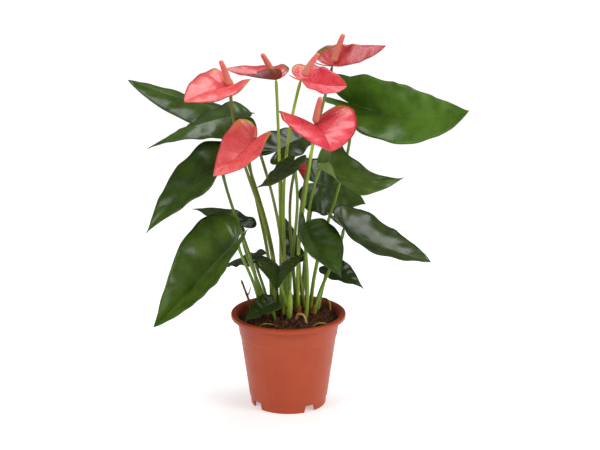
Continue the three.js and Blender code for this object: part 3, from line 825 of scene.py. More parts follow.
@dataclass
class HeartBlade:
    """A heart-shaped blade, bent along and across its midrib, with raised fields between its veins."""

    plan: HeartPlan
    veins: VeinStyle
    rim_height: float
    node: str
    rows: int = 150
    columns: int = 16
    seed: int = 0
    rib_start: float = 0.35
    crowding: float = 1.4

    def __post_init__(self) -> None:
        """Works out the midrib's length, the blade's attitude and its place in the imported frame."""
        plan = self.plan
        self.attach = np.array(plan.attach) + self.rim_height * UP
        span = np.array(plan.tip) - np.array(plan.attach)
        half = math.radians(plan.droop) / 2.0
        self.length = float(np.linalg.norm(span)) * half / math.sin(half)
        self.attitude = self._attitude(unit(span))
        self.attach = self.attach + self._shift_to_frame()

    def margin(self, theta: Array) -> Array:
        """Flat outline of one half: one Bezier round the lobe, a second from the widest place to the tip."""
        wide, lobe, length = self.plan.half_width, self.plan.lobe, self.length
        level = HEART.widest * length
        notch = [HEART.notch_across * wide, -HEART.notch_down * lobe]
        first = [[0, 0], notch, [wide, -HEART.lobe_down * lobe], [wide, level]]
        shoulder = level + HEART.shoulder * (length - level)
        tip_share = HEART.tip_along + HEART.tip_pull * (self.plan.full - HEART.plain_full)
        tip = [self.plan.full * wide, tip_share * length]
        second = [[wide, level], [wide, shoulder], tip, [0, length]]
        near = bezier(first, np.clip(2 * theta, 0, 1))
        far = bezier(second, np.clip(2 * theta - 1, 0, 1))
        return np.where((theta < 0.5)[..., None], near, far)

    def rib(self, theta: Array) -> Array:
        """Foot of the side vein that ends at theta: at the stalk at first, then further up the midrib."""
        along = np.maximum(0.0, (theta - self.rib_start) / (1 - self.rib_start)) ** 1.6 * self.length
        return np.stack([np.zeros_like(along), along], axis=-1)

    def half(self, theta: Array, share: Array) -> Array:
        """Flat points of one half: a share of the way along the straight line from rib to margin."""
        return self.rib(theta) + (self.margin(theta) - self.rib(theta)) * share[..., None]

    def space(self, x: Array, y: Array) -> Array:
        """Bends flat points into the blade's own space.

        Across, each half climbs at its fold angle, steeper by its cup angle near the stalk, and curls on by
        the curl angle at its margin. The cup fades with the square of the way to the tip. A ripple that grows
        with the square of the distance across lifts the margin. Along, the midrib turns evenly
        down by the droop angle, and the whole cross-section turns about the midrib by the twist angle.

        Args:
            x: flat distance across, negative on one half.
            y: flat distance along the midrib.

        Returns:
            Points with X across, Y along and Z up, in millimetres.
        """
        plan = self.plan
        across = np.abs(x) / plan.half_width
        near_stalk = (1 - np.clip(y / self.length, 0, 1)) ** 2
        half = (x >= 0).astype(int)
        fold = np.array(plan.fold)[half] + np.array(plan.cup)[half] * near_stalk
        out, rise = arc(np.radians(fold), np.radians(plan.curl) * across, np.abs(x))
        side = np.sign(x)
        wave = plan.ripple * across**2 * np.sin(6 * np.pi * y / self.length + side)
        along = y / self.length
        turn = -np.radians(plan.droop) * along
        forward, up = arc(np.zeros_like(turn), turn, y)
        local = np.stack([side * out, np.zeros_like(out), rise + wave], axis=-1)
        local = turn_about(1, np.radians(plan.twist) * along, local)
        local = turn_about(0, turn, local)
        return local + np.stack([np.zeros_like(forward), forward, up], axis=-1)

    def normal(self, x: Array, y: Array) -> Array:
        """Upward surface direction: the cross product of two short steps, across and along."""
        step = 0.5
        across = self.space(x + step, y) - self.space(x - step, y)
        along = self.space(x, y + step) - self.space(x, y - step)
        return unit(np.cross(across, along))

    def _attitude(self, line: Array) -> Array:
        """Matrix that brings the tip on to the line from attach to tip, then leans the blade about it."""
        side = unit(np.cross(line, UP))
        basis = np.stack([side, line, np.cross(side, line)], axis=1)
        end = self.space(np.zeros(1), np.array([self.length]))[0]
        level = turn_about(0, -math.atan2(end[2], end[1]), np.eye(3))
        lean = turn_about(1, math.radians(self.plan.roll), level)
        return basis @ lean.T

    def _shift_to_frame(self) -> Array:
        """Distance from this blade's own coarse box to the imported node's box, centre to centre."""
        theta, share = np.meshgrid(np.linspace(0, 1, 12), np.linspace(0, 1, 4), indexing="ij")
        flat = self.half(theta, share)
        parts = [self.space(side * flat[..., 0], flat[..., 1]).reshape(-1, 3) for side in (-1, 1)]
        points = self.to_frame(np.concatenate(parts))
        low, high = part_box(self.node)
        return (np.array(low) + np.array(high)) / 2 / MM - (points.min(0) + points.max(0)) / 2

    def to_frame(self, local: Array) -> Array:
        """Points of the blade's own space carried to the plant's frame."""
        return local @ self.attitude.T + self.attach

    def patch(self) -> Patch:
        """Both skins of the blade, meeting at the margin.

        A grid of rows from the stalk round the lobe to the tip and columns from one margin over the midrib
        to the other, crowded towards the midrib by a power of their share. Between veins the blade is puffed
        up by a squared sine, each vein is a groove above and a ridge below with a bell-shaped section, and
        the midrib is a ridge that fades to the tip.

        Returns:
            The closed blade, with values "flat", "vein", "edge" and "lobes".
        """
        veins = self.veins
        theta = np.linspace(0, 1, self.rows + 1)[:, None]
        steps = (np.arange(self.columns + 1) / self.columns) ** self.crowding
        signed = np.concatenate([-steps[:0:-1], steps])[None, :]
        share, side = np.abs(signed), np.where(signed < 0, -1.0, 1.0)
        theta, share, side = np.broadcast_arrays(theta, share, side)
        flat = self.half(theta, share)
        x, y = side * flat[..., 0], flat[..., 1]
        from_stalk = np.hypot(x, y)
        phase = (theta + veins.bow * share * (1 - share)) * veins.count + veins.stagger * (side > 0)
        part = phase - np.floor(phase)
        near_vein = np.minimum(part, 1 - part)
        width = veins.width + veins.widening * share
        inside = np.sin(np.pi * np.clip(share * 1.04, 0, 1)) ** 0.6 * ease(from_stalk, 2, 16)
        inside = inside * (1 - ease(theta, 0.8, 0.97))
        vein = np.exp(-((near_vein / width) ** 2)) * ease(share, 0.0, 0.04) * (1 - 0.7 * share) * inside
        rib_fade = 1 - 0.75 * np.clip(y / self.length, 0, 1)
        rib_line = np.exp(-((x / veins.rib_width) ** 2)) * (y > -0.5) * rib_fade
        collective = np.exp(-(((share - veins.collector) / 0.02) ** 2)) * ease(theta, 0.1, 0.2) * 0.25
        uneven = Waves(self.seed + 3, 26, 90).at(x, y)
        puff = veins.puff * np.sin(np.pi * part) ** 2 * inside + 0.5 * veins.puff * uneven * inside
        waver = Waves(self.seed + 5, 14, 40).at(x, y)
        flutter = veins.flutter * share**3 * waver * ease(from_stalk, 4, 20)
        edge_fade = np.sqrt(np.clip(1 - share**10, 0, 1)) * (1 - ease(theta, 0.985, 1.0))
        lobes = (1 - ease(theta, 0.28, 0.6)) * ease(np.abs(x) / self.plan.half_width, 0.1, 0.6)
        skins = []
        normal, base = self.normal(x, y), self.space(x, y)
        for face in (1, -1):
            vein_share, rib_share = (-1.0, 0.25) if face > 0 else (-1.6, -1.0)
            ridge = vein_share * veins.groove * vein + rib_share * veins.midrib * rib_line
            height = face * veins.thickness / 2 * edge_fade + puff + ridge * edge_fade + flutter
            points = self.to_frame(base + normal * height[..., None])
            quads = grid_quads(self.rows + 1, 2 * self.columns + 1, flip=face < 0)
            values = {
                "flat": np.stack([x, y, np.full_like(x, 40.0 * face)], axis=-1).reshape(-1, 3) * MM,
                "vein": np.maximum(np.maximum(0.45 * vein, rib_line), collective).ravel(),
                "edge": ease(share, 0.62, 1.0).ravel(),
                "lobes": lobes.ravel(),
            }
            finish = np.full(len(quads), 0 if face > 0 else 1)
            skins.append(Patch(points.reshape(-1, 3), quads, values, finish))
        return Patch.joined(skins)


@dataclass
class StalkPath:
    """Stalk under a blade: a Bezier curve from the peat to the blade's attachment."""

    blade: HeartBlade
    head_radius: float
    depth: float
    peat_height: float

    def path(self, places: Array) -> Array:
        """Points of the centre line.

        The stalk leaves the peat upright and arrives half-way between upright and square to the blade.
        Its middle is set over by the sway.

        Args:
            places: places along it, 0 to 1.

        Returns:
            One point for each place.
        """
        plan = self.blade.plan
        arrive = unit(unit(self.blade.attitude @ UP) + UP)
        head = self.blade.attach - arrive * (0.4 * self.head_radius)
        foot = np.array([plan.base[0], plan.base[1], self.peat_height - self.depth])
        reach = np.linalg.norm(head - foot)
        sway = np.array([plan.sway[0], plan.sway[1], 0.0])
        controls = [foot, foot + 0.4 * reach * UP + sway, head - 0.35 * reach * arrive + sway, head]
        return bezier(controls, places)


@dataclass
class Stalk:
    """Round fleshy stalk, thicker at the foot, with a swollen joint under the blade and fine ribs."""

    route: StalkPath
    foot_radius: float
    finish: StalkFinish
    joint: float = 0.28
    joint_drop: float = 9.0
    joint_spread: float = 7.0
    neck: float = 0.35
    neck_spread: float = 3.0
    rib_count: int = 9
    sides: int = 20
    steps: int = 90

    def build(self, name: str, node: str, slot: Slot) -> bpy.types.Object:
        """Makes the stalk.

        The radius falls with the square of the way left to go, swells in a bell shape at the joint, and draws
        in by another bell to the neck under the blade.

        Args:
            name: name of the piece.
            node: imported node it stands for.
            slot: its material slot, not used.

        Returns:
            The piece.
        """
        places = capped(self.steps)
        path = self.route.path(places)
        head = self.route.head_radius
        length = np.sum(np.linalg.norm(np.diff(path, axis=0), axis=1))
        left = (1 - places) * length
        radius = head + (self.foot_radius - head) * (1 - places) ** 2
        radius = radius * (1 + self.joint * np.exp(-(((left - self.joint_drop) / self.joint_spread) ** 2)))
        radius = radius * (1 - self.neck * np.exp(-((left / self.neck_spread) ** 2)))

        def ribs(along: Array, angle: Array) -> Array:
            """Shallow ribs that wander a little along the stalk, and two slow swellings round it."""
            ridges = 0.045 * np.cos(self.rib_count * angle + 0.02 * along)
            return ridges + 0.05 * np.sin(along / 17.0 + 2 * angle)

        patch = tube(path, radius, self.sides, ribs)
        return place(name, mesh_of(name, patch), [self.finish.material(f"{name}_finish")], [node])


@dataclass(frozen=True)
class LeafPlan:
    """A leaf: its blade and stalk, its tone with painted light and shade, and its stalk's radius at the foot.
    """

    heart: HeartPlan
    tone: ToneAndShade
    foot_radius: float = 2.6


@dataclass
class Foliage:
    """All leaves, each a blade on a stalk."""

    plans: Sequence[LeafPlan]
    rim_height: float
    peat_height: float
    stalk_depth: float = 12.0
    head_radius: float = 1.7

    def build(self) -> None:
        """Makes every leaf in order. Leaves of one tone share their finishes."""
        finishes = {
            tone: (finish.upper(f"leaf_{tone.value}_upper"), finish.lower(f"leaf_{tone.value}_lower"))
            for tone, finish in LEAF_FINISHES.items()
        }
        for number, plan in enumerate(self.plans, 1):
            node = f"leaf_{number:02d}"
            blade = HeartBlade(plan.heart, LEAF_VEINS, self.rim_height, f"{node}_blade", seed=31 * number)
            name = f"{node}_heart"
            place(name, mesh_of(name, blade.patch()), finishes[plan.tone], [blade.node])
            route = StalkPath(blade, self.head_radius, self.stalk_depth, self.peat_height)
            stalk = Stalk(route, plan.foot_radius, LEAF_STALK_FINISHES[number % len(LEAF_STALK_FINISHES)])
            stalk.build(f"{node}_stalk", f"{node}_petiole", Slot.LEAF_STALK)


@dataclass(frozen=True)
class FlowerPlan:
    """A flower: its spathe and stalk, and its spadix's length, heading and slope in degrees."""

    heart: HeartPlan
    spadix_length: float
    heading: float
    slope: float
    bloom: Bloom = Bloom.OPEN
    foot: Colour = srgb(214, 146, 116)
    tip: Colour = srgb(226, 108, 102)
    foot_radius: float = 2.4


FLORET_HEAD = srgb(240, 150, 132)


@dataclass
class Spadix:
    """Tapered flower spike covered in small florets."""

    blade: HeartBlade
    plan: FlowerPlan
    base_radius: float = 4.0
    tip_radius: float = 2.4
    full_length: float = 34.0
    floret_pitch: float = 2.6
    floret_height: float = 0.34
    around: int = 7
    sides: int = 84
    gap: float = 0.7
    arch: float = 0.16
    swelling: float = 0.06
    foot_share: float = 0.72
    foot_reach: float = 0.12
    steps: int = 120

    def build(self, name: str, node: str) -> bpy.types.Object:
        """Makes the spike.

        The centre line is a shallow arch. The radius starts narrow, falls evenly to a rounded tip and swells
        by a sine between them. The florets are bumps where two families of spiral waves crest together: the
        product of their raised cosines.

        Args:
            name: name of the piece.
            node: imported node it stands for.

        Returns:
            The piece.
        """
        plan = self.plan
        heading, slope = math.radians(plan.heading), math.radians(plan.slope)
        aim = around(np.cos(slope), heading, np.sin(slope))
        slim = min(1.0, plan.spadix_length / self.full_length)
        lean = math.tan(math.radians(max(0.0, *plan.heart.fold)))
        start = self.gap * 0.2 + slim * self.base_radius * 0.5 * (1 + lean)
        foot = self.blade.attach + aim * start
        tip = self.blade.attach + aim * plan.spadix_length
        places = capped(self.steps, 0.12)
        lift = self.arch * plan.spadix_length * places * (1 - places)
        path = foot + (tip - foot) * places[:, None] + lift[:, None] * UP
        swell = 1 + self.swelling * np.sin(np.pi * places)
        radius = slim * (self.base_radius + (self.tip_radius - self.base_radius) * places) * swell
        radius = radius * (self.foot_share + (1 - self.foot_share) * ease(places, 0.0, self.foot_reach))

        def florets(along: Array, angle: Array) -> Array:
            """Height of the florets: the product of two crossing spiral waves."""
            climb = 2 * np.pi * along / self.floret_pitch
            left = 0.5 + 0.5 * np.cos(self.around * angle + climb)
            right = 0.5 + 0.5 * np.cos(self.around * angle - climb)
            return self.floret_height * slim * (left * right) ** 0.7

        patch = tube(path, radius, self.sides, florets)
        along = patch.values["flat"][:, 0] / MM
        angle = np.arctan2(patch.values["flat"][:, 2], patch.values["flat"][:, 1])
        patch.values["floret"] = florets(along, angle) / (self.floret_height * slim)
        finish = SpadixFinish(plan.foot, plan.tip, FLORET_HEAD).material(f"{name}_finish")
        return place(name, mesh_of(name, patch), [finish], [node])


@dataclass
class Flowers:
    """All flowers, each a spathe and a spadix on a stalk."""

    plans: Sequence[FlowerPlan]
    rim_height: float
    peat_height: float
    stalk_depth: float = 12.0
    head_radius: float = 1.7

    def build(self) -> None:
        """Makes every flower in order. Flowers of one age share their bract's finishes."""
        finishes = {
            bloom: (finish.face(f"spathe_{bloom.value}_face"), finish.back(f"spathe_{bloom.value}_back"))
            for bloom, finish in SPATHE_FINISHES.items()
        }
        for number, plan in enumerate(self.plans, 1):
            node = f"flower_{number}"
            seed = 900 + 17 * number
            blade = HeartBlade(plan.heart, SPATHE_VEINS, self.rim_height, f"{node}_spathe", seed=seed)
            name = f"{node}_bract"
            place(name, mesh_of(name, blade.patch()), finishes[plan.bloom], [blade.node])
            Spadix(blade, plan).build(f"{node}_spike", f"{node}_spadix")
            route = StalkPath(blade, self.head_radius, self.stalk_depth, self.peat_height)
            stalk = Stalk(route, plan.foot_radius, FLOWER_STALK_FINISHES[number % 2], joint=0.12)
            stalk.build(f"{node}_scape", f"{node}_stalk", Slot.FLOWER_STALK)


LEAF_PLANS = (
    LeafPlan(
        HeartPlan(
            (-15, 26), (-67, 61, 237), (-201, 118, 265), -32, 30, 24, (-18, -17), -30, -15, 1,
            cup=(18, -16), full=0.4, sway=(6, 6),
        ),
        ToneAndShade.MID,
    ),
    LeafPlan(
        HeartPlan(
            (-22, 8), (-47, 41, 234), (-165, -23, 209), -35, 36, 12, (5, -30), -9, 48, 3,
            twist=27, cup=(-34, 23), full=0.3, sway=(10, 0),
        ),
        ToneAndShade.MID,
    ),
    LeafPlan(
        HeartPlan(
            (-34, 2), (-79, -21, 189), (-165, -64, 117), 0, 36, 24, (-7, 20), -24, 30, 2,
            twist=-12, cup=(35, 39), sway=(0, -6),
        ),
        ToneAndShade.MID,
    ),
    LeafPlan(
        HeartPlan(
            (-33, -9), (-60, -49, 104), (-158, -87, 9), -42, 50, 22, (58, 37), -11, -4, 3,
            twist=-30, cup=(8, -31), full=0.3,
        ),
        ToneAndShade.FRESH,
    ),
    LeafPlan(
        HeartPlan((-28, 12), (-56, 18, 103), (-121, 76, 109), -6, 23, 12, (10, 10), -10, 28, 2),
        ToneAndShade.DEEP,
    ),
    LeafPlan(
        HeartPlan((-25, 26), (-42, 44, 56), (-84, 66, 34), -20, 25, 12, (14, -10), -10, 30, 2),
        ToneAndShade.DEEP,
    ),
    LeafPlan(
        HeartPlan((2, -21), (-11, -38, 69), (-13, -120, 64), 0, 34, 20, (42, 42), -40, 30, 2, full=0.3),
        ToneAndShade.DEEP,
    ),
    LeafPlan(
        HeartPlan(
            (20, -19), (18, -35, 116), (63, -80, 68), 24, 48, 8, (-10, 49), -33, -4, 1,
            twist=10, cup=(-1, 44), full=0.1, sway=(7, 2),
        ),
        ToneAndShade.MID,
    ),
    LeafPlan(
        HeartPlan(
            (31, -7), (67, 15, 102), (169, -48, 78), 32, 44, 26, (-15, 44), -26, -27, 2,
            twist=12, cup=(16, 34), full=0.3, sway=(0, -5),
        ),
        ToneAndShade.DEEP,
    ),
    LeafPlan(
        HeartPlan(
            (24, -5), (37, -37, 189), (136, -39, 178), 7, 48, 9, (-13, -17), 19, -45, 2,
            twist=14, cup=(47, 41), full=0.1, sway=(-3, 8),
        ),
        ToneAndShade.FRESH,
    ),
    LeafPlan(
        HeartPlan(
            (27, 13), (76, 30, 252), (205, -80, 266), 37, 49, 33, (33, -12), 17, -44, 3,
            twist=31, cup=(42, 48), full=0.34, sway=(0, -14),
        ),
        ToneAndShade.BRIGHT,
    ),
    LeafPlan(
        HeartPlan((-5, 22), (-12, 48, 191), (42, 92, 203), 16, 32, 24, (14, 14), -12, 30, 2, sway=(0, -14)),
        ToneAndShade.DEEP,
    ),
    LeafPlan(
        HeartPlan(
            (3, -12), (6, -38, 197), (-36, -76, 175), 16, 24, 12, (-22, 10), 15, -28, 1,
            twist=12, cup=(12, -12), full=0.2, sway=(-8, 5),
        ),
        ToneAndShade.MID,
    ),
    LeafPlan(
        HeartPlan((17, 21), (34, 62, 146), (97, 84, 113), 34, 42, 24, (12, -12), -12, 28, 2),
        ToneAndShade.DEEP,
    ),
    LeafPlan(
        HeartPlan((36, 6), (48, 34, 47), (93, 30, 19), 26, 22, 9, (14, 14), -10, 28, 1),
        ToneAndShade.DEEP,
    ),
    LeafPlan(
        HeartPlan((-15, -27), (-20, -31, 20), (-52, -44, 1), -16, 19, 9, (14, 14), -10, 28, 1),
        ToneAndShade.MID,
    ),
    LeafPlan(
        HeartPlan((5, 30), (4, 46, 54), (-9, 56, 110), 0, 18, 12, (20, 20), -10, 16, 2),
        ToneAndShade.DEEP,
    ),
)

FLOWER_PLANS = (
    FlowerPlan(
        HeartPlan(
            (-20, -2), (-66, -30, 282), (-117, -76, 275), -22, 35, 12, (20, 5), -37, 33, 1,
            twist=-12, cup=(47, 27), full=0.4, sway=(20, -4),
        ),
        36, -157, 70, Bloom.PALE,
    ),
    FlowerPlan(
        HeartPlan(
            (-9, 5), (-14, 2, 287), (-75, 16, 297), -19, 36, 12, (45, 2), -36, -19, 1,
            twist=-13, cup=(24, 17), full=0.3,
        ),
        36, -162, 61, Bloom.AGED, foot=srgb(196, 138, 92), tip=srgb(216, 106, 96),
    ),
    FlowerPlan(
        HeartPlan(
            (22, 11), (52, 2, 303), (114, -10, 329), -6, 27, 26, (51, 15), 6, -44, 1,
            twist=28, cup=(14, -13), full=0.4, sway=(-25, -13),
        ),
        41, -22, 70, Bloom.AGED, foot=srgb(206, 150, 104), tip=srgb(222, 112, 104),
    ),
    FlowerPlan(
        HeartPlan(
            (13, -8), (31, -63, 246), (49, -107, 225), -2, 48, 17, (10, 8), -16, 49, 1,
            twist=-8, cup=(24, 22), full=0.5, sway=(-7, 23),
        ),
        37, -59, 70,
    ),
    FlowerPlan(
        HeartPlan(
            (-7, -13), (-37, -56, 228), (-84, -102, 195), 0, 31, 13, (-20, 12), 19, -8, 1,
            twist=-3, cup=(32, 44), full=0.3, sway=(6, 20),
        ),
        14, 50, 84, Bloom.PALE,
    ),
    FlowerPlan(
        HeartPlan(
            (0, -4), (15, -46, 295), (68, -50, 289), -2, 26, 16, (58, -17), 2, -26, 1,
            twist=8, cup=(-20, 23), full=0.6, sway=(-8, 31),
        ),
        38, -12, 56,
    ),
    FlowerPlan(
        HeartPlan((9, 13), (10, 20, 179), (20, 10, 160), 0, 11, 7, (30, 30), 10, 20, 0),
        17, -40, 50, Bloom.AGED,
    ),
)


# --------------------------------------------------------------------------------------------- pot


@dataclass
class NurseryPot:
    """Tapered pot with a rolled lip, a band under it, and a foot ring with notches, in millimetres."""

    rim_radius: float
    height: float
    foot_radius: float = 46.0
    wall: float = 1.8
    lip_width: float = 7.5
    lip_height: float = 6.0
    band_height: float = 20.0
    band_step: float = 0.9
    foot_height: float = 10.5
    foot_step: float = 1.3
    floor_raise: float = 7.0
    notch_count: int = 4
    notch_first: float = -55.0
    notch_width: float = 14.0
    notch_height: float = 8.0
    drain_count: int = 6
    drain_radius: float = 4.5
    drain_ring: float = 28.0
    drain_sides: int = 24
    still_middle: float = 5.0
    oval: float = 0.0012
    corner_steps: int = 6
    segments: int = 288

    def wall_radius(self, height: float) -> float:
        """Outside radius of the straight tapered wall at a height."""
        neck = self.height - self.lip_height - 2
        share = (height - self.foot_height) / (neck - self.foot_height)
        low, high = self.foot_radius + 0.6 + self.foot_step, self.rim_radius - self.lip_width - self.band_step
        return low + (high - low) * share

    def inner_radius(self, height: float) -> float:
        """Inside radius of the wall at a height."""
        return self.wall_radius(height) - self.wall

    def profile(self) -> Array:
        """Closed section from the floor's middle round the outside and back, with rounded corners.

        Each corner of the section is cut by a quarter-turn Bezier whose handles lie on the corner.

        Returns:
            Points of (radius, height), one a row.
        """
        top, rim, wall = self.height, self.rim_radius, self.wall
        neck_radius, neck = rim - self.lip_width, top - self.lip_height - 2
        band = neck - self.band_height
        edge = top - self.lip_height
        floor_top = self.floor_raise + wall
        corners = [
            (self.foot_radius - wall, self.floor_raise, 0.8), (self.foot_radius - wall, 0.0, 0.5),
            (self.foot_radius, 0.0, 0.6), (self.foot_radius + 0.6, self.foot_height - 1.0, 0.5),
            (self.wall_radius(self.foot_height), self.foot_height, 0.6),
            (self.wall_radius(band), band, 0.4), (self.wall_radius(band) + self.band_step, band + 1.0, 0.5),
            (neck_radius, neck, 0.8), (neck_radius + 1.2, top - wall - 1.2, 1.0),
            (rim - wall - 0.8, top - wall - 0.6, 0.8), (rim - wall, edge, 0.3), (rim - 0.3, edge, 0.4),
            (rim, edge + 1.2, 0.8), (rim, top - 1.0, 1.6), (rim - 2.4, top, 1.4),
            (neck_radius + 1.6, top - 0.6, 1.2), (neck_radius - 0.4, top - 2.6, 1.2),
            (self.inner_radius(neck), neck, 1.0), (self.inner_radius(floor_top), floor_top, 1.5),
        ]
        ends = [(0.0, self.floor_raise, 0.0), *corners, (0.0, floor_top, 0.0)]
        spots = np.array([(r, z) for r, z, _ in ends])
        section = [spots[:1]]
        share = np.linspace(0, 1, self.corner_steps)
        for before, here, after, (_, _, round_off) in zip(spots, spots[1:], spots[2:], corners):
            reach = min(round_off, 0.45 * np.linalg.norm(here - before), 0.45 * np.linalg.norm(after - here))
            start, end = here + unit(before - here) * reach, here + unit(after - here) * reach
            section.append(bezier([start, (start + 2 * here) / 3, (end + 2 * here) / 3, end], share))
        section.append(spots[-1:])
        return np.concatenate(section)

    def build(self) -> bpy.types.Object:
        """Makes the pot.

        The section is carried round the axis. In each notch the points of the foot ring are raised to the
        notch's height, through a steep smooth step at its sides. Towards the rim the circle turns slightly
        oval, by a cosine of twice the angle. Drain holes are cut through the floor.

        Returns:
            The piece.
        """
        section = self.profile()
        angle = turns(self.segments)
        pitch = 2 * np.pi / self.notch_count
        away = (angle - math.radians(self.notch_first) + pitch / 2) % pitch - pitch / 2
        across = np.abs(away) * self.foot_radius
        side = self.notch_width / 2
        notch = self.notch_height * (1 - ease(across, side - 0.5, side + 0.5))
        height = np.maximum(section[:, 1:], np.where(section[:, :1] > self.still_middle, notch, 0.0))
        oval = 1 + self.oval * np.cos(2 * angle + 0.7) * ease(section[:, 1:], 0, self.height)
        points = around(section[:, :1] * oval, angle, height)
        quads = grid_quads(len(section), self.segments, round_about=True)
        mesh = mesh_of("nursery_pot", Patch(points.reshape(-1, 3), quads))
        pot = place("nursery_pot", mesh, [PLASTIC.material("clay_plastic")], ["pot"])
        self._drain(pot)
        return pot

    def _drain(self, pot: bpy.types.Object) -> None:
        """Cuts the drain holes, one in the middle and a ring round it, with a closed rod for each."""
        count = self.drain_sides
        ring = around(self.drain_radius, turns(count), 0.0)
        ends = (self.floor_raise - 4.0) * UP, (self.floor_raise + 5.0) * UP
        rod = np.concatenate([ends[0][None], ends[0] + ring, ends[1] + ring, ends[1][None]])
        here = np.arange(count)
        after = (here + 1) % count
        low, high, top = 1, 1 + count, 1 + 2 * count
        sides = np.stack([low + here, low + after, high + after, high + here], axis=1)
        foot = np.stack([0 * here, low + after, low + here], axis=1)
        lid = np.stack([top + 0 * here, high + here, high + after], axis=1)
        spots = np.concatenate([0 * ring[:1], around(self.drain_ring, turns(self.drain_count), 0.0)])
        points = (spots[:, None] + rod).reshape(-1, 3) * MM
        faces = []
        for number in range(len(spots)):
            for part in (sides, foot, lid):
                faces += (part + number * len(rod)).tolist()
        mesh = bpy.data.meshes.new("drain_rods")
        mesh.from_pydata(points, [], faces)
        tool = bpy.data.objects.new("drain_rods", mesh)
        bpy.context.scene.collection.objects.link(tool)
        cut = pot.modifiers.new("drains", "BOOLEAN")
        cut.operation, cut.object, cut.solver = "DIFFERENCE", tool, "EXACT"
        bpy.context.view_layer.update()
        pot_mesh = bpy.data.meshes.new_from_object(pot.evaluated_get(bpy.context.evaluated_depsgraph_get()))
        pot.modifiers.clear()
        pot.data = pot_mesh
        bpy.data.objects.remove(tool)


# -------------------------------------------------------------------------------------------- peat


@dataclass(frozen=True)
class Bits:
    """Loose bits on the peat: how many, their smallest and largest radius, and how far out they lie.

    reach is a share of the bed's radius.
    """

    name: str
    count: int
    small: float
    large: float
    reach: float


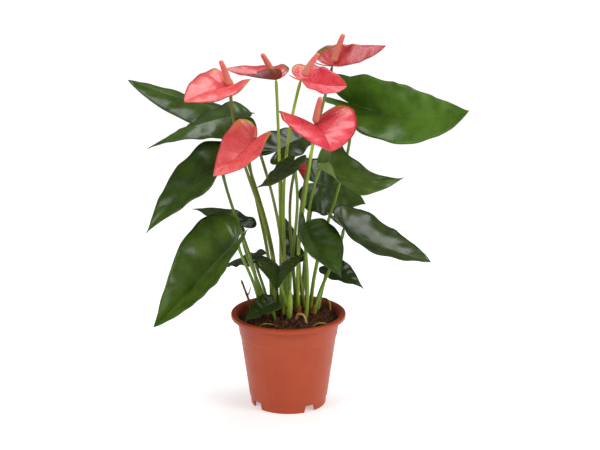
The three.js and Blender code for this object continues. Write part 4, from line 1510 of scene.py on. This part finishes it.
@dataclass
class PeatBed:
    """Peat filling the pot: a mounded clumpy surface, crumbs and fibres on it, in millimetres."""

    pot: NurseryPot
    top: float
    bottom: float
    mound: float = 6.0
    sink: float = 0.8
    skirt: float = 3.0
    gap: float = 0.6
    rings: int = 74
    segments: int = 260
    loose: tuple[Bits, ...] = (
        Bits("peat_crumbs", 1500, 0.6, 2.6, 0.93),
        Bits("peat_lumps", 120, 2.4, 4.6, 0.86),
    )
    fibre_count: int = 420
    fibre_sides: int = 3

    def level(self, x: Array, y: Array) -> Array:
        """Height of the surface.

        The mound is level in the middle and falls towards the wall. Lumps of three sizes lie on it, each
        from a wave field, and the two smaller sizes are folded up by their absolute value so that they look
        broken. The whole surface then sinks a little, which takes back most of the height the folds add.

        Args:
            x: distance across.
            y: distance towards the back.

        Returns:
            Height at each point.
        """
        radius = np.hypot(x, y)
        edge = self.pot.inner_radius(self.top - self.mound)
        fall = self.mound * np.interp(radius / edge, [0.0, 0.4, 0.75, 1.0], [0.0, 0.0, 0.4, 1.0])
        lumps = 1.1 * Waves(SEED, 14, 40).at(x, y)
        clods = 0.9 * np.abs(Waves(SEED + 1, 4.5, 11).at(x, y))
        grit = 0.45 * np.abs(Waves(SEED + 2, 1.8, 4).at(x, y))
        return self.top - fall + lumps + clods + grit - self.sink

    def _surface(self, radius: Array, heading: Array) -> Array:
        """Points of the surface at a radius and heading."""
        x, y = radius * np.cos(heading), radius * np.sin(heading)
        return np.stack([x, y, self.level(x, y)], axis=-1)

    def build(self) -> None:
        """Makes the bed and what lies on it."""
        edge = self.pot.inner_radius(self.top - self.mound) - self.gap
        angle = turns(self.segments)
        ring = edge * (np.arange(self.rings) / (self.rings - 1)) ** 0.8
        rim = self.top - self.mound - self.skirt
        heights = np.array([rim, self.bottom, self.bottom])[:, None]
        walls = [self.pot.inner_radius(height) - self.gap for height in (rim, self.bottom)]
        skirt = around(np.array([*walls, 0.0])[:, None], angle, heights)
        points = np.concatenate([self._surface(ring[:, None], angle), skirt])
        quads = grid_quads(len(points), self.segments, round_about=True, flip=True)
        mesh = mesh_of("peat_bed", Patch(points.reshape(-1, 3), quads))
        place("peat_bed", mesh, [Mottled.PEAT.material()], ["soil"])
        for bits in self.loose:
            self._crumbs(bits)
        self._fibres()

    def _spots(self, draw: np.random.Generator, count: int, reach: float) -> Array:
        """Random spots, evenly spread over the bed, on its surface."""
        edge = reach * self.pot.inner_radius(self.top - self.mound)
        return self._surface(edge * np.sqrt(draw.random(count)), 2 * np.pi * draw.random(count))

    def _crumbs(self, bits: Bits) -> None:
        """Loose broken bits: icosahedra with every corner pushed in or out, turned at random.

        Args:
            bits: their number, sizes and reach.
        """
        count = bits.count
        draw = np.random.default_rng(SEED + count)
        shape = bmesh.new()
        bmesh.ops.create_icosphere(shape, subdivisions=1, radius=1.0)
        corners = np.array([vertex.co for vertex in shape.verts])
        faces = np.array([[vertex.index for vertex in face.verts] for face in shape.faces])
        shape.free()
        spots = self._spots(draw, count, bits.reach)
        size = bits.small + (bits.large - bits.small) * draw.random(count) ** 2.5
        spin = np.linalg.qr(draw.normal(size=(count, 3, 3)))[0]
        spin[:, :, 0] *= np.sign(np.linalg.det(spin))[:, None]
        rough = corners[None] * draw.uniform(0.62, 1.2, (count, len(corners), 1))
        rough = rough * draw.uniform([0.7, 0.7, 0.5], [1.3, 1.3, 0.9], (count, 3))[:, None, :]
        points = np.einsum("nij,nkj->nki", spin, rough) * size[:, None, None]
        points = points + (spots + 0.25 * size[:, None] * UP)[:, None]
        order = faces[None] + len(corners) * np.arange(count)[:, None, None]
        mesh = mesh_of(bits.name, Patch(points.reshape(-1, 3), order.reshape(-1, 3)), weld=False)
        place(bits.name, mesh, [Mottled.CRUMB.material()])

    def _fibres(self) -> None:
        """Fine root fibres: three-sided hairs that lie on the bed in short random arcs.

        A hair's heading changes evenly along it, and it arches off the bed by a cosine of the way along.
        """
        count = self.fibre_count
        draw = np.random.default_rng(SEED + 5)
        spots = self._spots(draw, count, 0.9)
        heading = 2 * np.pi * draw.random(count)
        steps = np.linspace(-0.5, 0.5, 7)
        length = draw.uniform(5, 17, count)[:, None] * steps
        turn = draw.uniform(-2.4, 2.4, count)[:, None] * steps
        x = spots[:, :1] + length * np.cos(heading[:, None] + turn)
        y = spots[:, 1:2] + length * np.sin(heading[:, None] + turn)
        inside = 0.93 * self.pot.inner_radius(self.top - self.mound)
        pull = np.minimum(1.0, inside / np.maximum(np.hypot(x, y), 1e-6))
        x, y = x * pull, y * pull
        hop = draw.uniform(0.1, 2.2, count)[:, None] * np.cos(np.pi * steps)
        path = np.stack([x, y, self.level(x, y) + hop], axis=-1)
        angle = turns(self.fibre_sides)
        thick = draw.uniform(0.12, 0.34, count)[:, None, None] * (1 - 1.4 * np.abs(steps))[None, :, None]
        run = unit(np.gradient(path, axis=1))
        first = unit(np.cross(run, UP))
        second = np.cross(run, first)
        points = path[:, :, None] + thick[..., None] * (
            np.cos(angle)[:, None] * first[:, :, None] + np.sin(angle)[:, None] * second[:, :, None]
        )
        single = grid_quads(len(steps), self.fibre_sides, round_about=True)
        quads = single[None] + len(steps) * self.fibre_sides * np.arange(count)[:, None, None]
        mesh = mesh_of("peat_fibres", Patch(points.reshape(-1, 3), quads.reshape(-1, 4)), weld=False)
        place("peat_fibres", mesh, [Mottled.FIBRE.material()])


# --------------------------------------------------------------------------- roots and dry bits


@dataclass(frozen=True)
class Strand:
    """A root or dry stem: points of [across, back, above the rim] and its radii at both ends."""

    name: str
    points: tuple[Point, ...]
    foot_radius: float
    tip_radius: float
    finish: Mottled
    slot: Slot
    node: str = ""
    bumps: float = 0.12
    sides: int = 14
    steps: int = 70

    def build(self, rim_height: float) -> bpy.types.Object:
        """Makes the strand.

        Its centre line is a smooth curve through the points: a cubic through each pair, with slopes taken
        from the points on both sides. Its radius wavers by two sines, as swellings and narrow places.

        Args:
            rim_height: height of the pot's rim.

        Returns:
            The piece.
        """
        spots = np.array(self.points) + rim_height * UP
        knots = np.concatenate([[0.0], np.cumsum(np.sqrt(np.linalg.norm(np.diff(spots, axis=0), axis=1)))])
        slopes = np.gradient(spots, knots, axis=0)
        places = capped(self.steps, 0.03) * knots[-1]
        seat = np.clip(np.searchsorted(knots, places, side="right") - 1, 0, len(spots) - 2)
        width = (knots[seat + 1] - knots[seat])[:, None]
        t = ((places - knots[seat]) / width[:, 0])[:, None]
        path = (
            spots[seat] * (2 * t**3 - 3 * t**2 + 1)
            + slopes[seat] * width * (t**3 - 2 * t**2 + t)
            + spots[seat + 1] * (3 * t**2 - 2 * t**3)
            + slopes[seat + 1] * width * (t**3 - t**2)
        )
        share = places / knots[-1]
        radius = self.foot_radius + (self.tip_radius - self.foot_radius) * share
        radius = radius * (1 + self.bumps * (np.sin(23 * share) * 0.5 + np.sin(41 * share + 1) * 0.5))

        def bark(along: Array, angle: Array) -> Array:
            """Uneven lumps round the strand."""
            return self.bumps * 0.5 * self.foot_radius * np.sin(1.7 * along + 2 * angle) * np.cos(3 * angle)

        patch = tube(path, radius, self.sides, bark)
        nodes = [self.node] if self.node else []
        return place(self.name, mesh_of(self.name, patch), [self.finish.material()], nodes)


STRANDS = (
    Strand(
        "aerial_root_front", ((9, -28, -6), (12, -30, 6.6), (19, -32, 5.2), (21.5, -36, -1), (23, -37, -9)),
        1.9, 1.2, Mottled.ROOT, Slot.ROOT, "root_1",
    ),
    Strand(
        "aerial_root_back", ((36, 38, -8), (42, 36, 4.5), (50, 28, 3.6), (52, 18, -9)),
        1.7, 1.1, Mottled.YOUNG_ROOT, Slot.ROOT, "root_2",
    ),
    Strand(
        "dry_stem", ((-42, -1, -13), (-46, -2, 8), (-52, -4, 27), (-57, -6, 42)),
        1.9, 1.2, Mottled.DRY, Slot.DRY_STALK, "old_stalk",
    ),
    Strand(
        "dry_stem_spur", ((-50, -3.6, 21), (-47, -5, 27), (-46, -6, 33)),
        1.0, 0.5, Mottled.DRY, Slot.DRY_STALK,
    ),
    Strand(
        "surface_root_left", ((-34, -41, -5), (-28, -45, -0.5), (-20, -46, -0.6), (-14, -44, -4)),
        0.9, 0.5, Mottled.YOUNG_ROOT, Slot.ROOT,
    ),
    Strand(
        "surface_root_right", ((30, -40, -5), (36, -42, -1), (44, -40, -1.4), (49, -36, -6)),
        0.9, 0.5, Mottled.YOUNG_ROOT, Slot.ROOT,
    ),
)


@dataclass
class Husk:
    """Papery sheath round the foot of a stalk: a narrow pointed strip curled about it."""

    name: str
    foot: Point
    lean: Point
    height: float
    width: float
    finish: Mottled
    wrap: float = 1.1
    thickness: float = 0.44
    rows: int = 26
    columns: int = 13

    def build(self, rim_height: float) -> bpy.types.Object:
        """Makes the sheath.

        A strip whose half width grows by a sine of the way up and is drawn in to a point by a root. It curves
        round an upright axis as it goes across, bulges outwards and leans over as it climbs. Its two skins
        meet at its edges.

        Args:
            rim_height: height of the pot's rim.

        Returns:
            The piece.
        """
        up = np.linspace(0, 1, self.rows)[:, None]
        across = np.linspace(-1, 1, self.columns)[None, :]
        half = self.width * (0.55 + 0.45 * np.sin(np.pi * up * 0.9)) * np.sqrt(np.clip(1 - up**3, 0, 1))
        wrap = across * self.wrap
        x = half * np.sin(wrap)
        y = -half * 0.8 * (np.cos(wrap) - 0.4) * (1 + 0.4 * up)
        z = self.height * up + 0 * across
        fade = np.sqrt(np.clip(1 - across**8, 0, 1)) * np.sqrt(np.clip(1 - up**12, 0, 1))
        skins = []
        for face in (1, -1):
            out = face * self.thickness / 2 * fade
            points = np.stack([x + out * np.sin(wrap), y - out * np.cos(wrap), z], axis=-1)
            points = points + np.array(self.lean) * (up**1.6)[..., None]
            points = points + np.array(self.foot) + rim_height * UP
            skins.append(Patch(points.reshape(-1, 3), grid_quads(self.rows, self.columns, flip=face < 0)))
        mesh = mesh_of(self.name, Patch.joined(skins))
        return place(self.name, mesh, [self.finish.material()])


HUSKS = (
    Husk("sheath_front", (1, -24, -5), (1, -1, 0), 42, 5.0, Mottled.SHEATH),
    Husk("husk_left", (-26, -12, -4), (-4, -2, 0), 20, 4.5, Mottled.HUSK),
    Husk("husk_middle", (12, -17, -4), (2, -2, 0), 19, 4.0, Mottled.HUSK),
    Husk("husk_right", (28, -8, -4), (4, 0, 0), 16, 3.6, Mottled.HUSK),
)


# ------------------------------------------------------------------------------------------ studio


@dataclass(frozen=True)
class Lamp:
    """A softbox: where it stands, what it points at, its size and its power."""

    name: str
    spot: Point
    target: Point
    size: float
    power: float

    def build(self) -> None:
        """Makes the lamp."""
        data = bpy.data.lights.new(self.name, "AREA")
        data.shape, data.size, data.energy = "SQUARE", self.size, self.power
        lamp = bpy.data.objects.new(self.name, data)
        lamp.location = self.spot
        lamp.rotation_euler = (Vector(self.target) - Vector(self.spot)).to_track_quat("-Z", "Y").to_euler()
        bpy.context.scene.collection.objects.link(lamp)


@dataclass
class Studio:
    """White studio: a pale floor, softboxes, an even white surround and the camera."""

    lamps: tuple[Lamp, ...] = (
        Lamp("softbox_left", (-1.5, -1.3, 1.5), (0.0, 0.0, 0.28), 1.0, 21.0),
        Lamp("softbox_right", (1.6, -0.9, 1.2), (0.0, 0.0, 0.25), 1.0, 20.0),
        Lamp("softbox_top", (0.2, 0.3, 1.7), (0.0, 0.0, 0.25), 1.0, 16.0),
    )
    surround: float = 0.34
    mirrored: float = 0.1
    seen: float = 1.05
    floor_reach: float = 1.1
    floor_drop: float = 0.0004
    floor_shade: float = 0.85
    floor_glow: float = 0.4
    camera_spot: Point = (0.0142, -1.887, 0.7525)
    camera_fall: float = 15.6
    lens: float = 97.62
    sensor: float = 36.0

    def build(self) -> None:
        """Makes the studio."""
        for lamp in self.lamps:
            lamp.build()
        self._surround()
        self._floor()
        data = bpy.data.cameras.new("studio_camera")
        data.lens, data.sensor_width, data.clip_end = self.lens, self.sensor, 50.0
        camera = bpy.data.objects.new("studio_camera", data)
        camera.location = self.camera_spot
        camera.rotation_euler = (math.radians(90.0 - self.camera_fall), 0.0, 0.0)
        bpy.context.scene.collection.objects.link(camera)
        bpy.context.scene.camera = camera
        bpy.context.scene.view_settings.view_transform = "Standard"

    def _surround(self) -> None:
        """White behind everything, and a dimmer white as light and in reflections."""
        world = bpy.data.worlds.new("studio_surround")
        world.use_nodes = True
        bpy.context.scene.world = world
        tree = world.node_tree
        tree.nodes.clear()
        path = tree.nodes.new("ShaderNodeLightPath")
        shown = None
        layers = (("", self.surround), ("Is Glossy Ray", self.mirrored), ("Is Camera Ray", self.seen))
        for label, strength in layers:
            white = tree.nodes.new("ShaderNodeBackground")
            white.inputs["Color"].default_value = WHITE
            white.inputs["Strength"].default_value = strength
            if shown is None:
                shown = white.outputs[0]
                continue
            mix = tree.nodes.new("ShaderNodeMixShader")
            tree.links.new(path.outputs[label], mix.inputs[0])
            tree.links.new(shown, mix.inputs[1])
            tree.links.new(white.outputs[0], mix.inputs[2])
            shown = mix.outputs[0]
        out = tree.nodes.new("ShaderNodeOutputWorld")
        tree.links.new(shown, out.inputs[0])

    def _floor(self) -> None:
        """Plain pale floor, a hair below the pot's foot and faintly lit from within."""
        mesh = bpy.data.meshes.new("studio_floor")
        reach, shade = self.floor_reach, self.floor_shade
        corners = [(-reach, -reach, 0), (reach, -reach, 0), (reach, reach, 0), (-reach, reach, 0)]
        mesh.from_pydata(corners, [], [(0, 1, 2, 3)])
        s = Shader("studio_floor", Roughness=0.9)
        s.body.inputs["Base Color"].default_value = (shade, shade, shade, 1.0)
        s.body.inputs["Emission Color"].default_value = WHITE
        s.body.inputs["Emission Strength"].default_value = self.floor_glow
        mesh.materials.append(s.material)
        floor = bpy.data.objects.new("studio_floor", mesh)
        floor.location.z = -self.floor_drop
        bpy.context.scene.collection.objects.link(floor)


def main() -> None:
    """Builds the studio and the plant."""
    logging.basicConfig(level=logging.INFO, format="%(name)s %(message)s")
    pot_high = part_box("pot")[1]
    soil_low, soil_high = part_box("soil")
    rim_height = pot_high.z / MM
    pot = NurseryPot(rim_radius=pot_high.x / MM, height=rim_height)
    Studio().build()
    pot.build()
    PeatBed(pot, top=soil_high.z / MM, bottom=soil_low.z / MM).build()
    Foliage(LEAF_PLANS, rim_height, soil_high.z / MM).build()
    Flowers(FLOWER_PLANS, rim_height, soil_high.z / MM).build()
    for strand in STRANDS:
        strand.build(rim_height)
    for husk in HUSKS:
        husk.build(rim_height)


if __name__ == "__main__":
    main()
